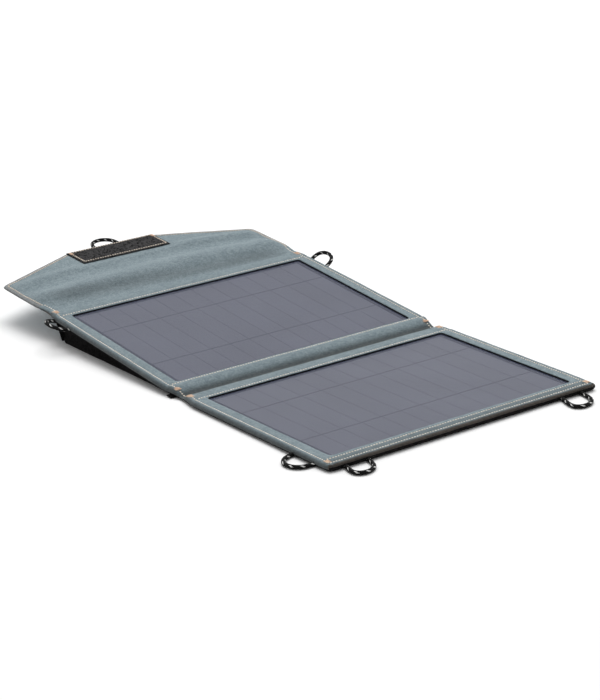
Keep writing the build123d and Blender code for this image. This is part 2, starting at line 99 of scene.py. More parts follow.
LOOP_PATCH_HALF = 55.0
LOOP_PATCH_NEAR = 94.75
LOOP_PATCH_FAR = 136.75
LOOP_PATCH_THICKNESS = 1.0
POCKET_HALF = 134.0
POCKET_FRONT = 13.0
POCKET_REAR = 184.0
POCKET_SHEET = 1.2
MOUTH_LEAN = radians(30.0)
LIP_HEIGHT = 9.5
TAPE_THICKNESS = 0.9
TAPE_WIDTH = 6.0
TAPE_HALF = 125.0
SEAM_GAP = 0.05
CLOSURE_HALF = 133.0
CLOSURE_FOOT = 2.7
CLOSURE_TOP = 23.4
CORD_DIAMETER = 3.5

# Camera, at the photograph's viewing angle
CAMERA_TARGET = Vector((11.38, -24.33, 1.0))
CAMERA_DISTANCE = 2048.2
CAMERA_AZIMUTH = radians(-36.69)
CAMERA_ELEVATION = radians(19.47)
CAMERA_ROLL = radians(-1.34)
CAMERA_LENS = 122.29
SENSOR_WIDTH = 36.0

# Studio, in metres: the surround brightens towards the far side, where the key stands high
BRIGHT_SIDE = (0.597, 0.802, 0.0)
SURROUND_DIM = 0.22
SURROUND_BRIGHT = 1.0
KEY_SIZE = 2.8
KEY_POWER = 100.0
KEY_PLACE = (1.0, 1.2, 3.3)
FLOOR_HALF = 9.0
FLOOR_DROP = 0.0002

# Rolled edges: how far in from the outline, and how far down from the face
SIDE_ROLL = (
    (7.5, 0.05), (6.2, 0.25), (5.2, 0.7), (4.3, 0.2), (3.2, -0.15), (2.2, 0.0),
    (1.2, 0.6), (0.5, 1.5), (0.1, 2.3), (0.0, 3.0), (0.3, 3.7), (1.1, 4.15),
)
FRONT_ROLL = (
    (7.5, 0.05), (6.4, 0.25), (5.5, 0.65), (4.6, 0.2), (3.4, -0.1), (2.3, -0.05),
    (1.3, 0.25), (0.6, 0.7), (0.2, 1.2), (0.1, 1.7), (0.5, 2.1), (1.2, 2.3),
)
FLAP_ROLL = (
    (6.5, 0.05), (5.0, 0.15), (4.0, 0.5), (3.2, 0.1), (2.3, -0.15), (1.4, 0.05),
    (0.7, 0.5), (0.3, 1.0), (0.05, 1.4), (0.1, 1.8), (0.5, 2.2), (1.4, 2.45),
)
SEAM_DROP = 4.15
FLAP_SEAM_DROP = 2.45
# Front corners: the square in which the outline turns, and its rounding
CORNER_SIZE = 9.0
CORNER_ROUNDING = 4.6
# Turned-up edges of the back fabric: how far in, and how far up from the underside
SIDE_TURN = ((7.0, 0.0), (4.5, 0.06), (2.6, 0.25), (1.3, 0.7), (0.55, 1.3), (0.4, 1.9), (1.0, 2.4))
FRONT_TURN = ((7.0, 0.0), (4.0, 0.06), (2.0, 0.3), (0.9, 0.8), (0.3, 1.8), (0.15, 3.0), (0.7, 4.1))
REAR_TURN = ((7.0, 0.0), (4.0, 0.06), (2.0, 0.3), (0.9, 0.8), (0.3, 1.6), (0.1, 2.4), (0.1, 3.1))
FLAP_TURN = ((6.5, 0.0), (4.0, 0.05), (2.2, 0.15), (1.2, 0.35), (0.7, 0.75))
ROOT_TURN = ((2.0, 0.0), (0.8, 0.1))

# Grid of a panel's cover: lanes in its margins, out from the window; rows before the window, and
# rows beyond its far edge
MARGIN_LANES = (4.0, 1.2)
ROWS_BEFORE = (HALF_WEB, 8.5, 10.0, 12.0, 14.0, 15.5, 17.0, 18.0, 18.8, 19.6, 20.4)
FRONT_ROWS_BEYOND = (0.7, 1.6, 2.6, 3.4, 4.1, 4.9, 6.2, 8.0)
REAR_ROWS_BEYOND = (0.8, 1.7, 2.6, 3.5, 4.5, 6.5, 9.0, 11.8)

# The cover's edge in the window: how far it turns down and in, the slack in finding it, and how
# far its corner points shift
WINDOW_TURN_DOWN = (0.25, 0.9)
WINDOW_TURN_IN = 0.12
WINDOW_SLACK = 0.5
CORNER_SHIFT = 0.88
# Black edging inside the window: out from the window's edge, and up from the underside
EDGING = ((0.2, 3.9), (0.2, 5.3), (-0.2, 5.5), (-0.6, 5.45), (-0.8, 5.2), (-0.85, 4.9), (-0.85, 3.9))

# Height of the inner fabric across the fold, against the distance from the fold towards the rear
FOLD_RELIEF = (
    (-21.0, -0.15), (-18.6, -0.5), (-15.0, 0.0), (-11.0, 0.0), (-7.5, -0.25),
    (-5.0, -1.1), (-2.6, -2.9), (-0.6, -3.6), (1.8, -3.2), (5.0, -1.7),
    (9.0, -0.2), (13.0, 0.8), (16.2, 0.8), (19.0, -0.45), (21.0, -0.15),
)
# The same from the rear window's far edge across the flap's root
ROOT_RELIEF = ((0.0, -0.1), (2.6, -0.45), (6.0, 0.15), (14.5, 0.05), (22.0, -0.35), (31.5, 0.0))
FOLD_PULL = 3.4
FOLD_PULL_REACH = 24.0
ROOT_PULL = 2.6
ROOT_PULL_REACH = 20.0
# Ripples of the fabric: height, size and seed
PANEL_RIPPLES = ((0.18, 16.0, 0.0), (0.12, 5.0, 2.0))
FLAP_RIPPLES = ((0.2, 18.0, 5.0), (0.1, 6.0, 6.0))
REAR_RIPPLE_SEED = 7.0

# Back fabric: half its flat middle, where that ends, how far it stays inside the outline, and how
# it lifts, swells and sags
BACK_HALF = 124.0
BACK_FLAT_END = 190.0
BACK_INSET = 0.3
BACK_FRONT_END = FRONT_END - 0.2
BACK_RISE = 0.25
BACK_SWELL = 0.2
BACK_SWELL_START = 6.0
BACK_SWELL_RAMP = 20.0
FOLD_BACK_RISE = 0.5
ROOT_BACK_SAG = 0.4
ROOT_BACK_INSET = 3.0

# Soft folds in the flap: height, width before and after the crest, crest at the middle, arc depth
FLAP_FOLDS = (
    (5.6, 23.0, 27.0, 36.0, 5.0),
    (2.6, 11.0, 14.0, 80.0, 9.0),
    (0.9, 9.0, 10.0, 12.0, 4.0),
)
ARC_REACH = 100.0
FOLD_WANDER = 3.0
# The flap's outline and grid: how its corners and slants ease, the gap between its roll and its
# fixed lanes, and its rows as start, end and count
FLAP_CORNER_EASE = 1.5
SLANT_EASE = 8.0
LANE_GAP = 1.0
FLAP_ROWS = ((FLAP_WEB, 74.0, 22), (76.0, 108.0, 20))
# The hollow before the main fold: its middle, how it slants, its width on both sides, and how far
# from the flap's sides it fades
HOLLOW_MIDDLE = 16.0
HOLLOW_SLANT = -0.06
HOLLOW_BEFORE = 20.0
HOLLOW_AFTER = 15.0
HOLLOW_MARGIN = 34.0
# Where the flap's folds flatten: before and beside its hook patch, and along its hem
PATCH_CLEAR = 12.0
PATCH_RAMP = 9.0
PATCH_SIDE_MARGIN = 2.0
PATCH_SIDE_RAMP = 12.0
HEM_CLEAR = 16.0
RIPPLE_CLEAR = 10.0

# What multiplies a cloth's colour where shade is painted on it: a cool tint where the painted shade is light, a
# warm one where it is deepest
SHADE_TINT = (0.12, 0.14, 0.14, 1)
DEEP_SHADE_TINT = (0.23, 0.12, 0.07, 1)
# How dark a spot's painted shade gets: a weight, the place where it ends and the length of its ramp; then
# the painted shade of the front margin and of the hollow, and the drop at which the hem's painted shade starts
SIDE_SHADE = (0.85, 4.8, 5.4)
END_SHADE = (0.96, 5.0, 3.4)
FOLD_SHADE = (0.78, 0.5, 3.4)
FOLD_SHADE_REACH = (1.0, 18.0, 4.0)
FRONT_SHADE = 0.42
FRONT_SHADE_RAMP = 8.0
HOLLOW_SHADE = 0.42
HEM_SHADE_START = 0.4

# Stitching
STITCH_PITCH = 2.65
STITCH_SHARE = 0.56
STITCH_RADIUS = 0.75
STITCH_FLATNESS = 0.6
STITCH_RISE = 0.15
STITCH_SIDES = 6
STITCH_JITTER = 0.05
STITCH_WANDER = 0.12
# In metres: anything shorter has no direction
SHORTEST_STITCH = 1e-6
# Shape of a stitch: share of its length, share of its radius, and rise in radii
STITCH_SHAPE = ((0.0, 0.35, -0.5), (0.1, 0.8, 0.1), (0.5, 1.0, 0.35), (0.9, 0.8, 0.1), (1.0, 0.35, -0.5))
TACK_RADIUS = 0.5
TACK_RISE = 0.35
TACK_PITCH = 1.1
TACK_LEAN = 0.2
# Rows of stitches: in from the outline, or out from the fold; how far short rows stop before the
# side rows; and the spacing of the spots they pass through
SIDE_ROW = 5.2
FRONT_OUTER_ROW = 5.5
FRONT_INNER_ROW = 12.4
NEAR_ROW = 18.8
REAR_NEAR_ROW = 19.0
REAR_FAR_ROW = 187.6
FLAP_ROW = 4.0
PATCH_ROW = 2.6
ROW_SETBACK = 2.0
SPOT_PITCH = 3.0
# The valleys that the rows draw in the fabric, and how deep thread lies where it crosses a fold
EDGE_VALLEY = 0.6
EDGE_VALLEY_REACH = 1.8
BAND_VALLEY = 0.35
BAND_VALLEY_REACH = 1.6
CROSSING_DROP = 0.55
HEM_VALLEY = 0.45
# Bar tacks: out from the fold, and in from the ends
FOLD_TACK = 10.0
ROOT_TACK = 2.0
FRONT_TACK = 9.0
PATCH_TACK = 2.0

# Loops: body, root point, outward way and lift; half the root spacing, half the width, the reach
# and the tip's lean; and the length of the free cord
LOOPS = {
    "front_left_loop": ("front_panel", (112.0, 201.5, 1.75), (0, 1), 0.0, (10.8, 11.7, 18.5, 5.0), 49.5),
    "front_right_loop": ("front_panel", (-110.0, 201.5, 1.75), (0, 1), 0.0, (10.3, 12.5, 23.0, 6.5), 59.8),
    "left_front_loop": ("front_panel", (139.0, 169.2, 1.75), (1, 0), 0.0, (13.0, 12.4, 16.5, -1.5), 45.8),
    "left_rear_loop": ("rear_panel", (-139.0, 177.7, 1.75), (-1, 0), 20.0, (11.5, 11.7, 16.0, -3.0), 44.1),
    "right_rear_loop": ("rear_panel", (139.0, 174.0, 1.75), (1, 0), 20.0, (10.8, 11.7, 16.5, -4.0), 45.3),
    "flap_loop": ("flap", (-1.7, 117.5, 4.5), (0, 1), 0.0, (13.0, 12.4, 17.5, 1.5), 47.7),
}
# Shape of every loop, and how far its ends are sewn in
ROOT_GAP = 1.0
SHOULDER_DROP = 0.6
TIP_SHARE = 0.42
SHOULDER_LEAN = 0.6
CORD_SIDES = 16
SEWN_IN = 2.6

# Pocket: its sides' rows and how they sag, wave and draw in; its soft bottom, its lip, the sheet's
# thickness, and the tab of its front hem
POCKET_SHARES = (1.0, 0.86, 0.72, 0.58, 0.44, 0.3, 0.18, 0.09, 0.03, 0.0)
POCKET_GAP = 0.05
POCKET_SIDE_GAP = 0.2
POCKET_SAG = 3.6
POCKET_WAVE = 0.6
POCKET_HEM = 1.6
POCKET_HEM_SHARE = 0.16
POCKET_TURN = 1.2
POCKET_TURN_SHARE = 0.05
FLOOR_INSET = 5.0
FLOOR_SWELL = 0.25
LIP_INSET = 2.4
LIP_STEPS = (0.4, 1.3, 2.6, 4.4, 6.4, 8.4, LIP_HEIGHT)
LIP_DEPTH = 0.15
LIP_FOOT_DEPTH = 0.9
LIP_FOOT = 2.2
LINING = 0.9
TAB_ACROSS = (-139.5, -129.0)
TAB_ALONG = (8.0, 14.5)
TAB_LEVEL = (-0.9, 0.4)

# Soft slabs: the edge's rounding, the spacing of their grid, and the ramp and unevenness of their
# crown
SLAB_EDGE = 0.6
TAPE_EDGE = 0.4
SLAB_SPACING = 6
CROWN_RAMP = 8.0
CROWN_RIPPLE = 0.5

# Patterns of the materials: pitch of the yarns and of a cell's fingers, the braid's yarns (how
# many, and their turn in radians a millimetre) and its flecks (spacing, length and width)
YARN_PITCH = 0.9
FINGER_PITCH = 2.0
FINGER_SHARE = 0.06
BRAID_YARNS = 4
BRAID_TURN = 3.7
FLECK_SPACING = 8.5
FLECK_LENGTH = 0.22
FLECK_WIDTH = 0.42
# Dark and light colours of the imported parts
RIBBON_COLOURS = ((0.010, 0.010, 0.015), (0.024, 0.024, 0.032))
SHEET_COLOURS = ((0.003, 0.003, 0.005), (0.006, 0.006, 0.009))
BOARD_COLOURS = ((0.09, 0.09, 0.09), (0.14, 0.14, 0.14))
PLASTIC_COLOURS = ((0.010, 0.010, 0.011), (0.022, 0.022, 0.024))
CIRCUIT_COLOURS = ((0.01, 0.10, 0.04), (0.02, 0.19, 0.08))
FOAM_COLOURS = ((0.42, 0.42, 0.40), (0.55, 0.55, 0.52))
STEEL_COLOURS = ((0.50, 0.50, 0.51), (0.66, 0.66, 0.67))
LENS_COLOURS = ((0.45, 0.03, 0.02), (0.62, 0.05, 0.04))


class Place:
    """A panel's own frame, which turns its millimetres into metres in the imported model's frame."""

    def __init__(self, origin, across, along):
        self.origin = Vector(origin)
        self.x = Vector(across)
        self.y = Vector(along)
        self.z = self.x.cross(self.y)

    def at(self, x, y, z):
        return (self.origin + self.x * x + self.y * y + self.z * z) * MM


def fold_axis():
    """The fold's place in Y and Z."""
    joint = next(j for j in frame["joints"] if j["name"] == "fold")
    return joint["pos_m"][1] / MM, joint["pos_m"][2] / MM


FOLD_Y, AXIS_HEIGHT = fold_axis()
FRONT = Place((0, FOLD_Y, 0), (-1, 0, 0), (0, -1, 0))
REAR = Place(
    (0, FOLD_Y + AXIS_HEIGHT * sin(REAR_TILT), AXIS_HEIGHT * (1 - cos(REAR_TILT))),
    (1, 0, 0),
    (0, cos(REAR_TILT), sin(REAR_TILT)),
)
FLAP = Place(
    REAR.at(0, REAR_END, FACE) / MM - FACE * Vector((0, -sin(FLAP_TILT), cos(FLAP_TILT))),
    (1, 0, 0),
    (0, cos(FLAP_TILT), sin(FLAP_TILT)),
)
MOUTH = Place((0, FOLD_Y + POCKET_REAR, 0), (-1, 0, 0), (0, sin(MOUTH_LEAN), cos(MOUTH_LEAN)))
PLACES = {"front_panel": FRONT, "rear_panel": REAR, "flap": FLAP}


# ---- camera, light and floor


def camera():
    """Camera at the photograph's viewing angle."""
    level = cos(CAMERA_ELEVATION)
    back = Vector((sin(CAMERA_AZIMUTH) * level, -cos(CAMERA_AZIMUTH) * level, sin(CAMERA_ELEVATION)))
    data = bpy.data.cameras.new("camera")
    data.lens = CAMERA_LENS
    data.sensor_width = SENSOR_WIDTH
    data.clip_start = 0.05
    data.clip_end = 60.0
    made = bpy.data.objects.new("camera", data)
    made.location = (CAMERA_TARGET + back * CAMERA_DISTANCE) * MM
    made.rotation_mode = "QUATERNION"
    made.rotation_quaternion = back.to_track_quat("Z", "Y") @ Quaternion((0, 0, 1), CAMERA_ROLL)
    bpy.context.scene.collection.objects.link(made)
    bpy.context.scene.camera = made


def key_light():
    """Big soft square light, aimed at the origin."""
    data = bpy.data.lights.new("key", "AREA")
    data.shape = "SQUARE"
    data.size = KEY_SIZE
    data.energy = KEY_POWER
    made = bpy.data.objects.new("key", data)
    made.location = KEY_PLACE
    made.rotation_euler = Vector(KEY_PLACE).to_track_quat("Z", "Y").to_euler()
    bpy.context.scene.collection.objects.link(made)


def surround():
    """White surround that brightens towards one side."""
    world = bpy.data.worlds.new("surround")
    bpy.context.scene.world = world
    world.use_nodes = True
    tree = world.node_tree
    way = tree.nodes.new("ShaderNodeVectorMath")
    way.operation = "DOT_PRODUCT"
    way.inputs[1].default_value = BRIGHT_SIDE
    tree.links.new(tree.nodes.new("ShaderNodeTexCoord").outputs["Generated"], way.inputs[0])
    level = tree.nodes.new("ShaderNodeMapRange")
    level.inputs["From Min"].default_value = -1.0
    level.inputs["To Min"].default_value = SURROUND_DIM
    level.inputs["To Max"].default_value = SURROUND_BRIGHT
    tree.links.new(way.outputs["Value"], level.inputs["Value"])
    background = tree.nodes["Background"]
    tree.links.new(level.outputs[0], background.inputs["Strength"])
    background.inputs["Color"].default_value = (1.0, 1.0, 1.0, 1.0)


def studio():
    """Plain soft studio: the surround, one big light above and behind, a pale floor."""
    surround()
    key_light()
    bpy.context.scene.view_settings.view_transform = "Standard"
    mesh = bpy.data.meshes.new("floor")
    corners = [(x * FLOOR_HALF, y * FLOOR_HALF, 0) for x, y in ((-1, -1), (1, -1), (1, 1), (-1, 1))]
    mesh.from_pydata(corners, [], [(0, 1, 2, 3)])
    mesh.materials.append(floor_paper())
    floor = bpy.data.objects.new("floor", mesh)
    floor.location.z = -FLOOR_DROP
    bpy.context.scene.collection.objects.link(floor)


# ---- materials


class Finish:
    """A procedural material: a Principled shader and the nodes that feed it."""

    def __init__(self, name, roughness, **constants):
        self.material = bpy.data.materials.new(name)
        self.material.use_nodes = True
        self.tree = self.material.node_tree
        self.shader = self.tree.nodes["Principled BSDF"]
        self.shader.inputs["Roughness"].default_value = roughness
        for label, value in constants.items():
            self.shader.inputs[label.replace("_", " ")].default_value = value
        self.place = self.tree.nodes.new("ShaderNodeTexCoord").outputs["Object"]

    def node(self, kind, **settings):
        made = self.tree.nodes.new(kind)
        for label, value in settings.items():
            setattr(made, label, value)
        return made

    def join(self, source, target):
        self.tree.links.new(source, target)

    def math(self, operation, *values):
        """Result of one sum on sockets or numbers."""
        made = self.node("ShaderNodeMath", operation=operation)
        for socket, value in zip(made.inputs, values):
            if isinstance(value, bpy.types.NodeSocket):
                self.join(value, socket)
            else:
                socket.default_value = value
        return made.outputs[0]

    def total(self, *parts):
        """Sum of sockets, each times its share."""
        found = None
        for socket, share in parts:
            part = self.math("MULTIPLY", socket, share)
            found = part if found is None else self.math("ADD", found, part)
        return found

    def noise(self, size, detail=2.0):
        """Soft noise with features of a size in millimetres, from 0 to 1."""
        made = self.node("ShaderNodeTexNoise")
        made.inputs["Scale"].default_value = 1 / (size * MM)
        made.inputs["Detail"].default_value = detail
        self.join(self.place, made.inputs["Vector"])
        return made.outputs["Fac"]

    def cells(self, size):
        """Distance inside round cells of a size in millimetres."""
        made = self.node("ShaderNodeTexVoronoi")
        made.inputs["Scale"].default_value = 1 / (size * MM)
        self.join(self.place, made.inputs["Vector"])
        return made.outputs["Distance"]

    def split(self, source):
        """The three parts of a vector."""
        made = self.node("ShaderNodeSeparateXYZ")
        self.join(source, made.inputs[0])
        return made.outputs

    def axes(self):
        """Object coordinates in millimetres."""
        scaled = self.node("ShaderNodeVectorMath", operation="SCALE")
        scaled.inputs["Scale"].default_value = 1 / MM
        self.join(self.place, scaled.inputs[0])
        return self.split(scaled.outputs[0])

    def weave(self):
        """Plain weave of yarns that cross, on faces of any direction."""
        x, y, z = self.axes()
        yarns = []
        for way in (x, y):
            turn = self.math("MULTIPLY", self.math("ADD", way, z), pi / YARN_PITCH)
            yarns.append(self.math("SINE", turn))
        return self.math("ABSOLUTE", self.math("MULTIPLY", *yarns))

    def colour(self, factor, dark, light, low=0.0, high=1.0):
        """Blend of two colours by a factor, into the shader's base colour."""
        ramp = self.node("ShaderNodeValToRGB")
        for element, position, shade in zip(ramp.color_ramp.elements, (low, high), (dark, light)):
            element.position = position
            element.color = (*shade, 1)
        self.join(factor, ramp.inputs[0])
        self.join(ramp.outputs[0], self.shader.inputs["Base Color"])
        return ramp.outputs[0]

    def relief(self, *layers):
        """Bumps, given as pairs of a height and its depth in millimetres."""
        normal = None
        for height, depth in layers:
            bump = self.node("ShaderNodeBump")
            bump.inputs["Distance"].default_value = depth * MM
            self.join(height, bump.inputs["Height"])
            if normal is not None:
                self.join(normal, bump.inputs["Normal"])
            normal = bump.outputs[0]
        self.join(normal, self.shader.inputs["Normal"])


def floor_paper():
    """Plain pale floor."""
    finish = Finish("floor_paper", 0.9, Specular_IOR_Level=0.0)
    finish.colour(finish.noise(400.0), (0.93, 0.93, 0.93), (0.96, 0.96, 0.96))
    return finish.material


def cloth(name, dark, light, yarn=0.2, sheen=0.2, gloss=0.15):
    """Woven polyester, mottled where its yarns catch the light, with shade painted darker in its hollows and under
    its rolled edges.
    """
    finish = Finish(name, 0.85, Sheen_Weight=sheen, Sheen_Roughness=0.5, Specular_IOR_Level=gloss)
    weave = finish.weave()
    grain = finish.noise(1.6, 3.0)
    tone = finish.total(
        (grain, 0.5), (finish.noise(4.0), 0.25), (finish.noise(38.0), 0.10), (weave, 0.15)
    )
    unshaded = finish.colour(tone, dark, light, 0.39, 0.61)
    # Painted shade: a mesh attribute darkens the colour in hollows, in the fold and under rolled edges, and warms
    # it where the painted shade is deepest
    painted_shade = finish.node("ShaderNodeAttribute", attribute_name="painted_shade").outputs["Fac"]
    tint = finish.node("ShaderNodeMix", data_type="RGBA")
    finish.join(finish.math("POWER", painted_shade, 4.0), tint.inputs["Factor"])
    tint.inputs["A"].default_value = SHADE_TINT
    tint.inputs["B"].default_value = DEEP_SHADE_TINT
    darken = finish.node("ShaderNodeMix", data_type="RGBA", blend_type="MULTIPLY")
    finish.join(painted_shade, darken.inputs["Factor"])
    finish.join(unshaded, darken.inputs["A"])
    finish.join(tint.outputs["Result"], darken.inputs["B"])
    finish.join(darken.outputs["Result"], finish.shader.inputs["Base Color"])
    finish.relief((weave, yarn), (grain, 0.22), (finish.noise(7.0), 0.5))
    return finish.material


def thread(name, dark, light):
    """Twisted sewing thread."""
    finish = Finish(name, 0.6, Specular_IOR_Level=0.35)
    finish.colour(finish.noise(5.0), dark, light, 0.35, 0.65)
    finish.relief((finish.noise(0.35), 0.1))
    return finish.material


def braid():
    """Black braided cord with a pale tracer yarn that shows as short flecks."""
    finish = Finish("braided_cord", 0.6, Specular_IOR_Level=0.12)
    length, turn = finish.split(finish.node("ShaderNodeUVMap", uv_map="cord").outputs[0])[:2]
    lay = finish.math("MULTIPLY", length, BRAID_TURN)
    around = finish.math("MULTIPLY", turn, 2 * pi * BRAID_YARNS)
    yarns = [finish.math("SINE", finish.math(way, lay, around)) for way in ("ADD", "SUBTRACT")]
    step = finish.math(
        "ADD", finish.math("DIVIDE", length, FLECK_SPACING), finish.math("MULTIPLY", turn, 2.0)
    )
    near = finish.math("LESS_THAN", finish.math("FRACT", step), FLECK_LENGTH)
    third = finish.math("FRACT", finish.math("MULTIPLY", turn, 3.0))
    fleck = finish.math("MULTIPLY", near, finish.math("LESS_THAN", third, FLECK_WIDTH))
    finish.colour(fleck, (0.004, 0.004, 0.004), (0.88, 0.88, 0.86))
    finish.relief((finish.math("MAXIMUM", *yarns), 0.3))
    return finish.material


def tape(name, dark, light, size, depth):
    """Hook or loop fastener: a woven ground covered with small curls."""
    finish = Finish(name, 0.95, Specular_IOR_Level=0.05)
    curls = finish.cells(size)
    finish.colour(finish.math("ADD", curls, finish.noise(2.5)), dark, light, 0.82, 1.25)
    finish.relief((curls, depth), (finish.noise(0.9), 0.3))
    return finish.material


def silicon():
    """Blue-black cell strips with faint grid fingers, each strip a slightly different shade."""
    finish = Finish("silicon", 0.3, IOR=1.65)
    x = finish.axes()[0]
    shade = finish.node("ShaderNodeTexWhiteNoise", noise_dimensions="1D")
    finish.join(finish.math("FLOOR", finish.math("DIVIDE", x, CELL_PITCH)), shade.inputs["W"])
    across = finish.math("FRACT", finish.math("DIVIDE", x, FINGER_PITCH))
    fingers = finish.math("LESS_THAN", across, FINGER_SHARE)
    tone = finish.total((shade.outputs["Value"], 0.25), (fingers, 0.3), (finish.noise(30.0), 0.3))
    finish.colour(tone, (0.016, 0.018, 0.034), (0.060, 0.064, 0.10))
    finish.relief((finish.noise(70.0), 0.5))
    return finish.material


def film():
    """Matt clear film over the cells."""
    finish = Finish("clear_film", 0.22, IOR=1.65, Alpha=0.42)
    finish.colour(finish.noise(55.0), (0.100, 0.116, 0.190), (0.122, 0.140, 0.222), 0.3, 0.7)
    finish.relief((finish.noise(60.0), 0.5), (finish.noise(6.0), 0.01))
    return finish.material


def solid(name, dark, light, roughness, size, depth, **constants):
    """Moulded, rolled or pressed stuff with a fine surface grain."""
    finish = Finish(name, roughness, **constants)
    grain = finish.noise(size)
    finish.colour(grain, dark, light, 0.35, 0.65)
    finish.relief((grain, depth))
    return finish.material


# ---- mesh tools


def show(name, mesh, material):
    """Puts a smooth-shaded mesh in the scene."""
    mesh.polygons.foreach_set("use_smooth", [True] * len(mesh.polygons))
    mesh.materials.append(material)
    made = bpy.data.objects.new(name, mesh)
    bpy.context.scene.collection.objects.link(made)
    return made


def sheet_mesh(name, rows, up, skip=None, painted_shade=None):
    """Mesh over rows of points, facing the given way, without the squares that skip names."""
    width = len(rows[0])
    squares = []
    for j in range(len(rows) - 1):
        for i in range(width - 1):
            if skip and skip(i, j):
                continue
            near, far = j * width + i, (j + 1) * width + i
            squares.append((near, near + 1, far + 1, far))
    mesh = bpy.data.meshes.new(name)
    mesh.from_pydata([point for row in rows for point in row], [], squares)
    # Shade painted into the colour of each point, kept as an attribute for the cloth material
    if painted_shade:
        layer = mesh.attributes.new("painted_shade", "FLOAT", "POINT")
        layer.data.foreach_set("value", [value for row in painted_shade for value in row])
    made = bmesh.new()
    made.from_mesh(mesh)
    bmesh.ops.delete(made, geom=[v for v in made.verts if not v.link_faces], context="VERTS")
    if sum(face.normal.dot(up) * face.calc_area() for face in made.faces) < 0:
        bmesh.ops.reverse_faces(made, faces=made.faces)
    made.to_mesh(mesh)
    made.free()
    return mesh


def surface(name, rows, up, material, skip=None, painted_shade=None):
    """Shows a mesh over rows of points."""
    return show(name, sheet_mesh(name, rows, up, skip, painted_shade), material)


def attach(piece, body, slot, *nodes):
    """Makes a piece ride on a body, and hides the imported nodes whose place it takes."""
    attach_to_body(piece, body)
    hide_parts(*nodes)


def bend_with_fold(piece):
    """Bakes a piece's transform into its mesh."""
    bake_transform(piece)


def bend_with_root(piece):
    """Bakes a piece's transform into its mesh."""
    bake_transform(piece)


def steps(start, end, count):
    """Evenly spaced numbers from start to end."""
    return [start + (end - start) * k / count for k in range(count + 1)]


def smooth(t):
    """Soft step from 0 to 1."""
    t = min(1.0, max(0.0, t))
    return t * t * (3 - 2 * t)


def fade(distance, size, reach):
    """A size that fades softly to nothing within its reach."""
    return size * (1 - smooth(abs(distance) / reach))


def through(knots, t):
    """Smooth curve through knots, level beyond the ends."""
    if t <= knots[0][0]:
        return knots[0][1]
    if t >= knots[-1][0]:
        return knots[-1][1]
    k = max(i for i in range(len(knots) - 1) if knots[i][0] <= t)
    (t0, h0), (t1, h1) = knots[k], knots[k + 1]
    span = t1 - t0
    slopes = []
    for i in (k, k + 1):
        low, high = knots[max(0, i - 1)], knots[min(len(knots) - 1, i + 1)]
        slopes.append((high[1] - low[1]) / (high[0] - low[0]) * span)
    u = (t - t0) / span
    return (
        h0 * (2 * u**3 - 3 * u**2 + 1)
        + slopes[0] * (u**3 - 2 * u**2 + u)
        + h1 * (3 * u**2 - 2 * u**3)
        + slopes[1] * (u**3 - u**2)
    )


def ripple(x, y, size, seed=0.0):
    """Gentle unevenness of soft fabric, from about -1 to 1."""
    return noise.noise(Vector((x / size, y / size, seed)))


def ripples(layers, x, y, seed=0.0):
    """Slight waves and puckers together."""
    return sum(height * ripple(x, y, size, seed + own) for height, size, own in layers)


class Lane:
    """One line of a fabric's grid: either at a fixed place, or in from the outline on one side."""

    def __init__(self, side, place, drop=0.0):
        self.side = side
        self.place = place
        self.drop = drop

    def across(self, half):
        return self.side * (half - self.place) if self.side else self.place

    def along(self, end):
        return end - self.place if self.side else self.place


def lanes_across(roll, middle):
    """Lanes from the left outline to the right one."""
    left = [Lane(-1, inset, drop) for inset, drop in reversed(roll)]
    right = [Lane(1, inset, drop) for inset, drop in roll]
    return left + [Lane(0, x) for x in middle] + right


def drawn_in(x, amount):
    """Moves the margin beside the window in by an amount that grows towards the outline."""
    share = smooth((abs(x) - WINDOW_HALF) / (PANEL_HALF - WINDOW_HALF))
    return x - amount * share if x > 0 else x + amount * share


def rounded(x, y, end):
    """Moves points near a panel's square corner on to a rounded one."""
    u = (abs(x) - (PANEL_HALF - CORNER_SIZE)) / CORNER_SIZE
    w = (y - (end - CORNER_SIZE)) / CORNER_SIZE
    if u <= 0 or w <= 0:
        return x, y
    reach = max(u, w)
    square = reach / (u * u + w * w) ** 0.5
    straight = 1 - CORNER_ROUNDING / CORNER_SIZE
    arc = straight * (1 / square) + CORNER_ROUNDING / CORNER_SIZE
    share = 1 - (1 - arc * square) * reach**3
    new_x = PANEL_HALF - CORNER_SIZE + u * CORNER_SIZE * share
    return (new_x if x > 0 else -new_x), end - CORNER_SIZE + w * CORNER_SIZE * share


def fold_pull(y):
    """How far the outline is drawn in at the fold, that far from it."""
    return fade(y, FOLD_PULL, FOLD_PULL_REACH)


def root_pull(t):
    """How far the outline is drawn in at the flap's root, t outwards from the rear panel."""
    return fade(t - FLAP_WEB / 3, ROOT_PULL, ROOT_PULL_REACH)


def rear_pull(y):
    """How far the rear panel's outline is drawn in at both its ends."""
    return fold_pull(y) + root_pull(y - REAR_END)


def fold_share(s):
    """How much a point that crosses the fold belongs to the rear panel, s towards the rear."""
    return smooth((s + HALF_WEB) / (2 * HALF_WEB))


def at_fold(x, s, z):
    """Point in the fabric that crosses the fold."""
    weight = fold_share(s)
    return FRONT.at(-x, -s, z) * (1 - weight) + REAR.at(x, s, z) * weight


def at_root(x, t, z):
    """Point in the fabric at the flap's root, t outwards from the rear panel."""
    weight = smooth(t / FLAP_WEB)
    return REAR.at(x, REAR_END + t, z) * (1 - weight) + FLAP.at(x, t, z) * weight


# ---- covers of the panels


def front_height(x, y):
    """Height of the front panel's inner fabric."""
    z = FACE + through(FOLD_RELIEF, -y)
    z -= fade(y - (FRONT_END - FRONT_INNER_ROW), BAND_VALLEY, BAND_VALLEY_REACH)
    return z + ripples(PANEL_RIPPLES, x, y)


